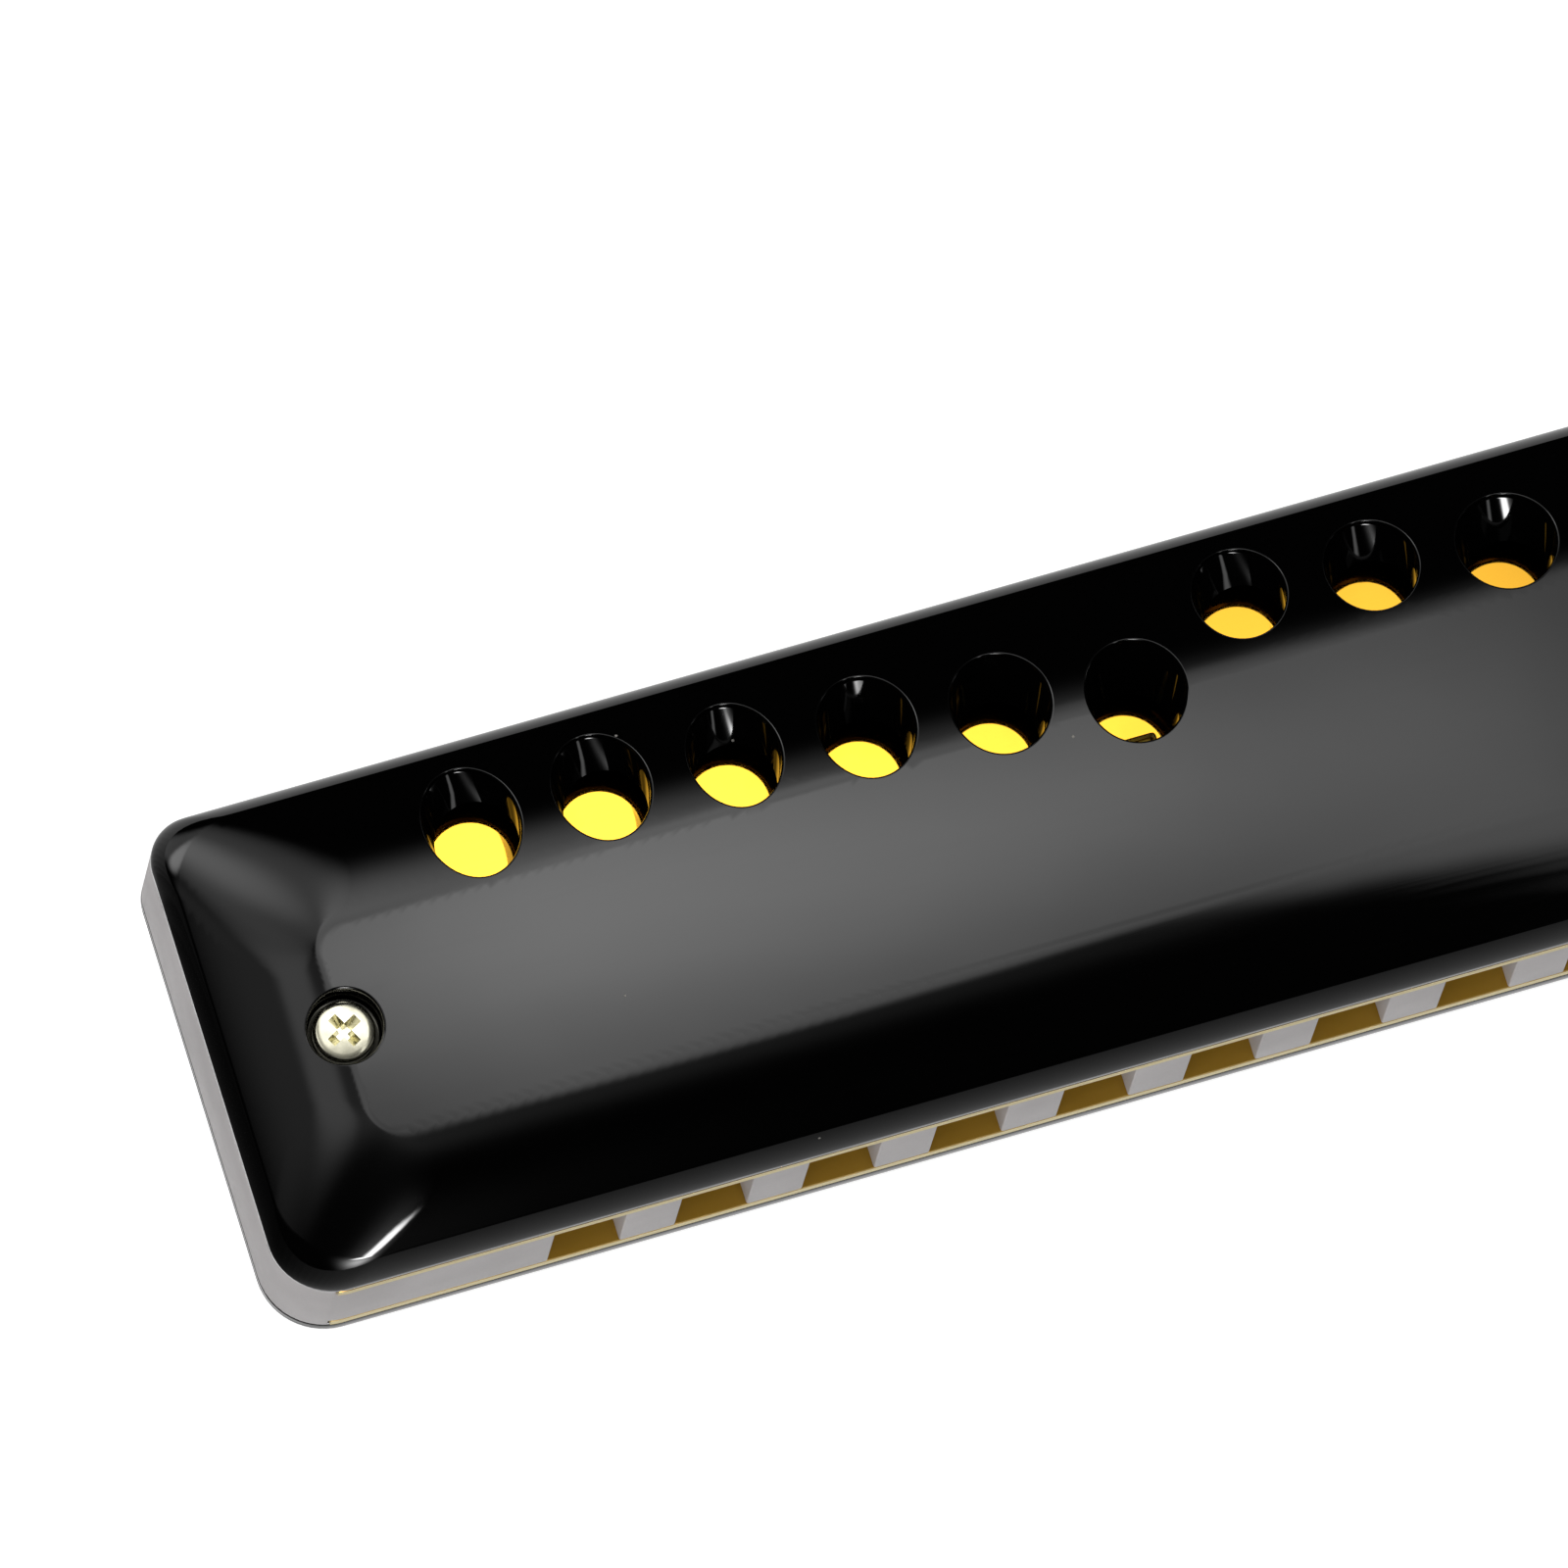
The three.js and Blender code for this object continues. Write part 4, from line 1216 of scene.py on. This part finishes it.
class HARMONICA_OT_stage(Builder, bpy.types.Operator):
    """Set up the paper floor, the studio light and the camera"""

    bl_idname = "harmonica.stage"
    bl_label = "Stage"

    paper_half = 2.5
    tent_middle = 20 * MM
    tent_count = 180
    tent_tilts = np.radians(np.linspace(1.2, 96, 80))
    card_height = 0.2 * MM

    def build(self, scene):
        scene.view_settings.view_transform = "Standard"
        self.floor(scene)
        self.room(scene)
        self.tent(scene)
        self.camera(scene, scene.harmonica_stage)

    def seen(self, tree):
        """One for the rays that show a background: from the camera, off gloss or through glass."""
        rays = add_node(tree, "LightPath").node.outputs
        seen = rays["Is Camera Ray"]
        for kind in ("Glossy", "Transmission"):
            seen = add_node(tree, "Math", [seen, rays[f"Is {kind} Ray"]], operation="MAXIMUM")
        return seen

    def floor(self, scene):
        """White paper that is bright to the camera and to reflections, and keeps a soft shadow. It is
        clear from below, where it would hide the harmonica's underside."""
        material, tree, spot = new_material("matt_white_paper")
        fibre = add_node(tree, "TexNoise", {"Vector": spot, "Scale": 1 / (0.8 * MM), "Detail": 3.0})
        colour = scene.harmonica_finishes.floor
        shades = {0: fibre, 6: colour, 7: darker(colour, 0.985)}
        shade = add_node(tree, "Mix", shades, 2, data_type="RGBA")
        paper = add_node(tree, "BsdfDiffuse", {"Color": shade})
        factors = [self.seen(tree), scene.harmonica_stage.paper]
        strength = add_node(tree, "Math", factors, operation="MULTIPLY")
        glow = add_node(tree, "Emission", {"Strength": strength})
        both = add_node(tree, "AddShader", [paper, glow])
        below = add_node(tree, "NewGeometry", output="Backfacing")
        sheet = add_node(tree, "MixShader", [below, both, add_node(tree, "BsdfTransparent")])
        add_node(tree, "OutputMaterial", [sheet])
        mesh = bpy.data.meshes.new("paper_floor")
        corners = [(x * self.paper_half, y * self.paper_half, 0) for x, y in QUARTERS]
        mesh.from_pydata(corners, [], [(0, 1, 2, 3)])
        mesh.materials.append(material)
        add_object("paper_floor", mesh)

    def room(self, scene):
        """A white room, a little brighter on the left; the tent hides it from the gloss."""
        scene.world = bpy.data.worlds.new("white_room")
        tree = cleared_tree(scene.world)
        way = add_node(tree, "TexCoord", output="Generated")
        across = add_node(tree, "SeparateXYZ", [way], "X")
        fill = add_node(tree, "MapRange", [across, -1.0, 1.0, *scene.harmonica_stage.fill])
        strength = add_node(tree, "MapRange", [self.seen(tree), 0.0, 1.0, fill, 1.0])
        add_node(tree, "OutputWorld", [add_node(tree, "Background", {"Strength": strength})])

    def tent(self, scene):
        """A black cloth tent with soft lights in it, and cards on the floor around the harmonica, all
        of which only gloss and metal see. Each point carries the radiance of its place."""
        skin = Skin()
        top = skin.add([(0.0, 0.0, 1.0)])[0]
        rings = [
            skin.add(at_height(circle(0, 0, math.sin(tilt), self.tent_count), math.cos(tilt)))
            for tilt in self.tent_tilts
        ]
        skin.faces.extend((top, rings[0][i - 1], rings[0][i]) for i in range(self.tent_count))
        skin.bridge(*rings)
        ways = np.array(skin.points)
        points = ways * scene.harmonica_stage.tent + np.array([0, 0, self.tent_middle])
        self.cloth("black_tent", points, skin.faces, self.glow(ways) * scene.harmonica_stage.lights)
        sizes = scene.harmonica_covers
        body = arc_corners(HALF_LENGTH, HALF_DEPTH, sizes.front_corner, sizes.back_corner, 12)
        way = arc_corners(1, 1, 1, 1, 12)
        skin, rings, glow = Skin(), [], []
        for gap_x, gap_y, ends, front, back in FLOOR_CARDS:
            rings.append(skin.add(at_height(body + way * (gap_x * MM, gap_y * MM), self.card_height)))
            side = np.where(way[:, 1] < 0, front, back)
            glow.append(ends + (side - ends) * way[:, 1] ** 2)
        skin.bridge(*rings)
        self.cloth("floor_cards", skin.points, skin.faces, np.concatenate(glow))

    def cloth(self, name, points, faces, glow):
        """A surface that only reflections see, with a radiance at each of its points."""
        mesh = bpy.data.meshes.new(name)
        mesh.from_pydata([tuple(p) for p in points], [], faces)
        mesh.attributes.new("glow", "FLOAT", "POINT").data.foreach_set("value", glow)
        material = bpy.data.materials.new(name + "_cloth")
        tree = cleared_tree(material)
        strength = add_node(tree, "Attribute", output="Fac", attribute_name="glow")
        add_node(tree, "OutputMaterial", [add_node(tree, "Emission", {"Strength": strength})])
        mesh.materials.append(material)
        cloth = add_object(name, mesh)
        for rays in ("camera", "diffuse", "shadow", "transmission", "volume_scatter"):
            setattr(cloth, f"visible_{rays}", False)

    def glow(self, ways):
        """The radiance of the tent in each of the given directions from its middle."""
        tilt = np.degrees(np.arccos(np.clip(ways[:, 2], -1, 1)))
        flat = np.maximum(np.hypot(ways[:, 0], ways[:, 1]), TINY)
        x, y = tilt * ways[:, 0] / flat, tilt * ways[:, 1] / flat
        total = np.full(len(ways), TENT_BLACK)
        for middle_x, middle_y, half_u, half_v, turn, firmness, radiance in TENT_LIGHTS.values():
            cos, sin = math.cos(math.radians(turn)), math.sin(math.radians(turn))
            u = ((x - middle_x) * cos + (y - middle_y) * sin) / half_u
            v = ((y - middle_y) * cos - (x - middle_x) * sin) / half_v
            total += radiance * np.exp(-((u * u + v * v) ** firmness))
        return total

    def camera(self, scene, sizes):
        """A long lens on the line of sight, at the tilt that the picture has."""
        level = Vector((math.cos(sizes.azimuth), math.sin(sizes.azimuth), 0))
        ahead = Vector((-level.y, level.x, 0))
        back = Vector((0, 0, math.sin(sizes.elevation))) - ahead * math.cos(sizes.elevation)
        upright = back.cross(level)
        right = level * math.cos(sizes.roll) + upright * math.sin(sizes.roll)
        up = upright * math.cos(sizes.roll) - level * math.sin(sizes.roll)
        middle = Vector((0, 0, (COMB_TOP + COMB_BOTTOM) / 2))
        aim = middle - right * sizes.aim_left + up * sizes.aim_up
        lens = bpy.data.cameras.new("long_lens")
        lens.lens, lens.sensor_width, lens.clip_start, lens.clip_end = sizes.lens, 36.0, 0.1, 20.0
        camera = add_object("long_lens", lens)
        turn = Matrix((right, up, back)).transposed().to_4x4()
        camera.matrix_world = Matrix.Translation(aim + back * sizes.distance) @ turn
        scene.camera = camera


PIECE_OPERATORS = (
    HARMONICA_OT_stage,
    HARMONICA_OT_comb,
    HARMONICA_OT_reed_plates,
    HARMONICA_OT_reeds,
    HARMONICA_OT_rivets,
    HARMONICA_OT_plate_screws,
    HARMONICA_OT_covers,
    HARMONICA_OT_bolts,
)

SETTINGS = {
    "harmonica_covers": CoverSizes,
    "harmonica_vents": VentSizes,
    "harmonica_fasteners": FastenerSizes,
    "harmonica_reeds": ReedSizes,
    "harmonica_finishes": Finishes,
    "harmonica_stage": StageSizes,
}


class HARMONICA_PT_panel(bpy.types.Panel):
    """Lists the harmonica's pieces and their settings"""

    bl_idname = "HARMONICA_PT_panel"
    bl_label = "Diatonic harmonica"
    bl_space_type = "VIEW_3D"
    bl_region_type = "UI"
    bl_category = "Harmonica"

    def draw(self, context):
        for operator in PIECE_OPERATORS:
            self.layout.operator(operator.bl_idname)
        for setting in SETTINGS:
            group = getattr(context.scene, setting)
            box = self.layout.box()
            for key in group.__annotations__:
                box.prop(group, key, text=key.replace("_", " ").capitalize())


CLASSES = (*SETTINGS.values(), *PIECE_OPERATORS, HARMONICA_PT_panel)


def register():
    for cls in CLASSES:
        bpy.utils.register_class(cls)
    for setting, group in SETTINGS.items():
        setattr(bpy.types.Scene, setting, bpy.props.PointerProperty(type=group))


def unregister():
    for setting in SETTINGS:
        delattr(bpy.types.Scene, setting)
    for cls in reversed(CLASSES):
        bpy.utils.unregister_class(cls)


def main():
    register()
    for operator in PIECE_OPERATORS:
        group, name = operator.bl_idname.split(".")
        getattr(getattr(bpy.ops, group), name)()


if __name__ == "__main__":
    main()
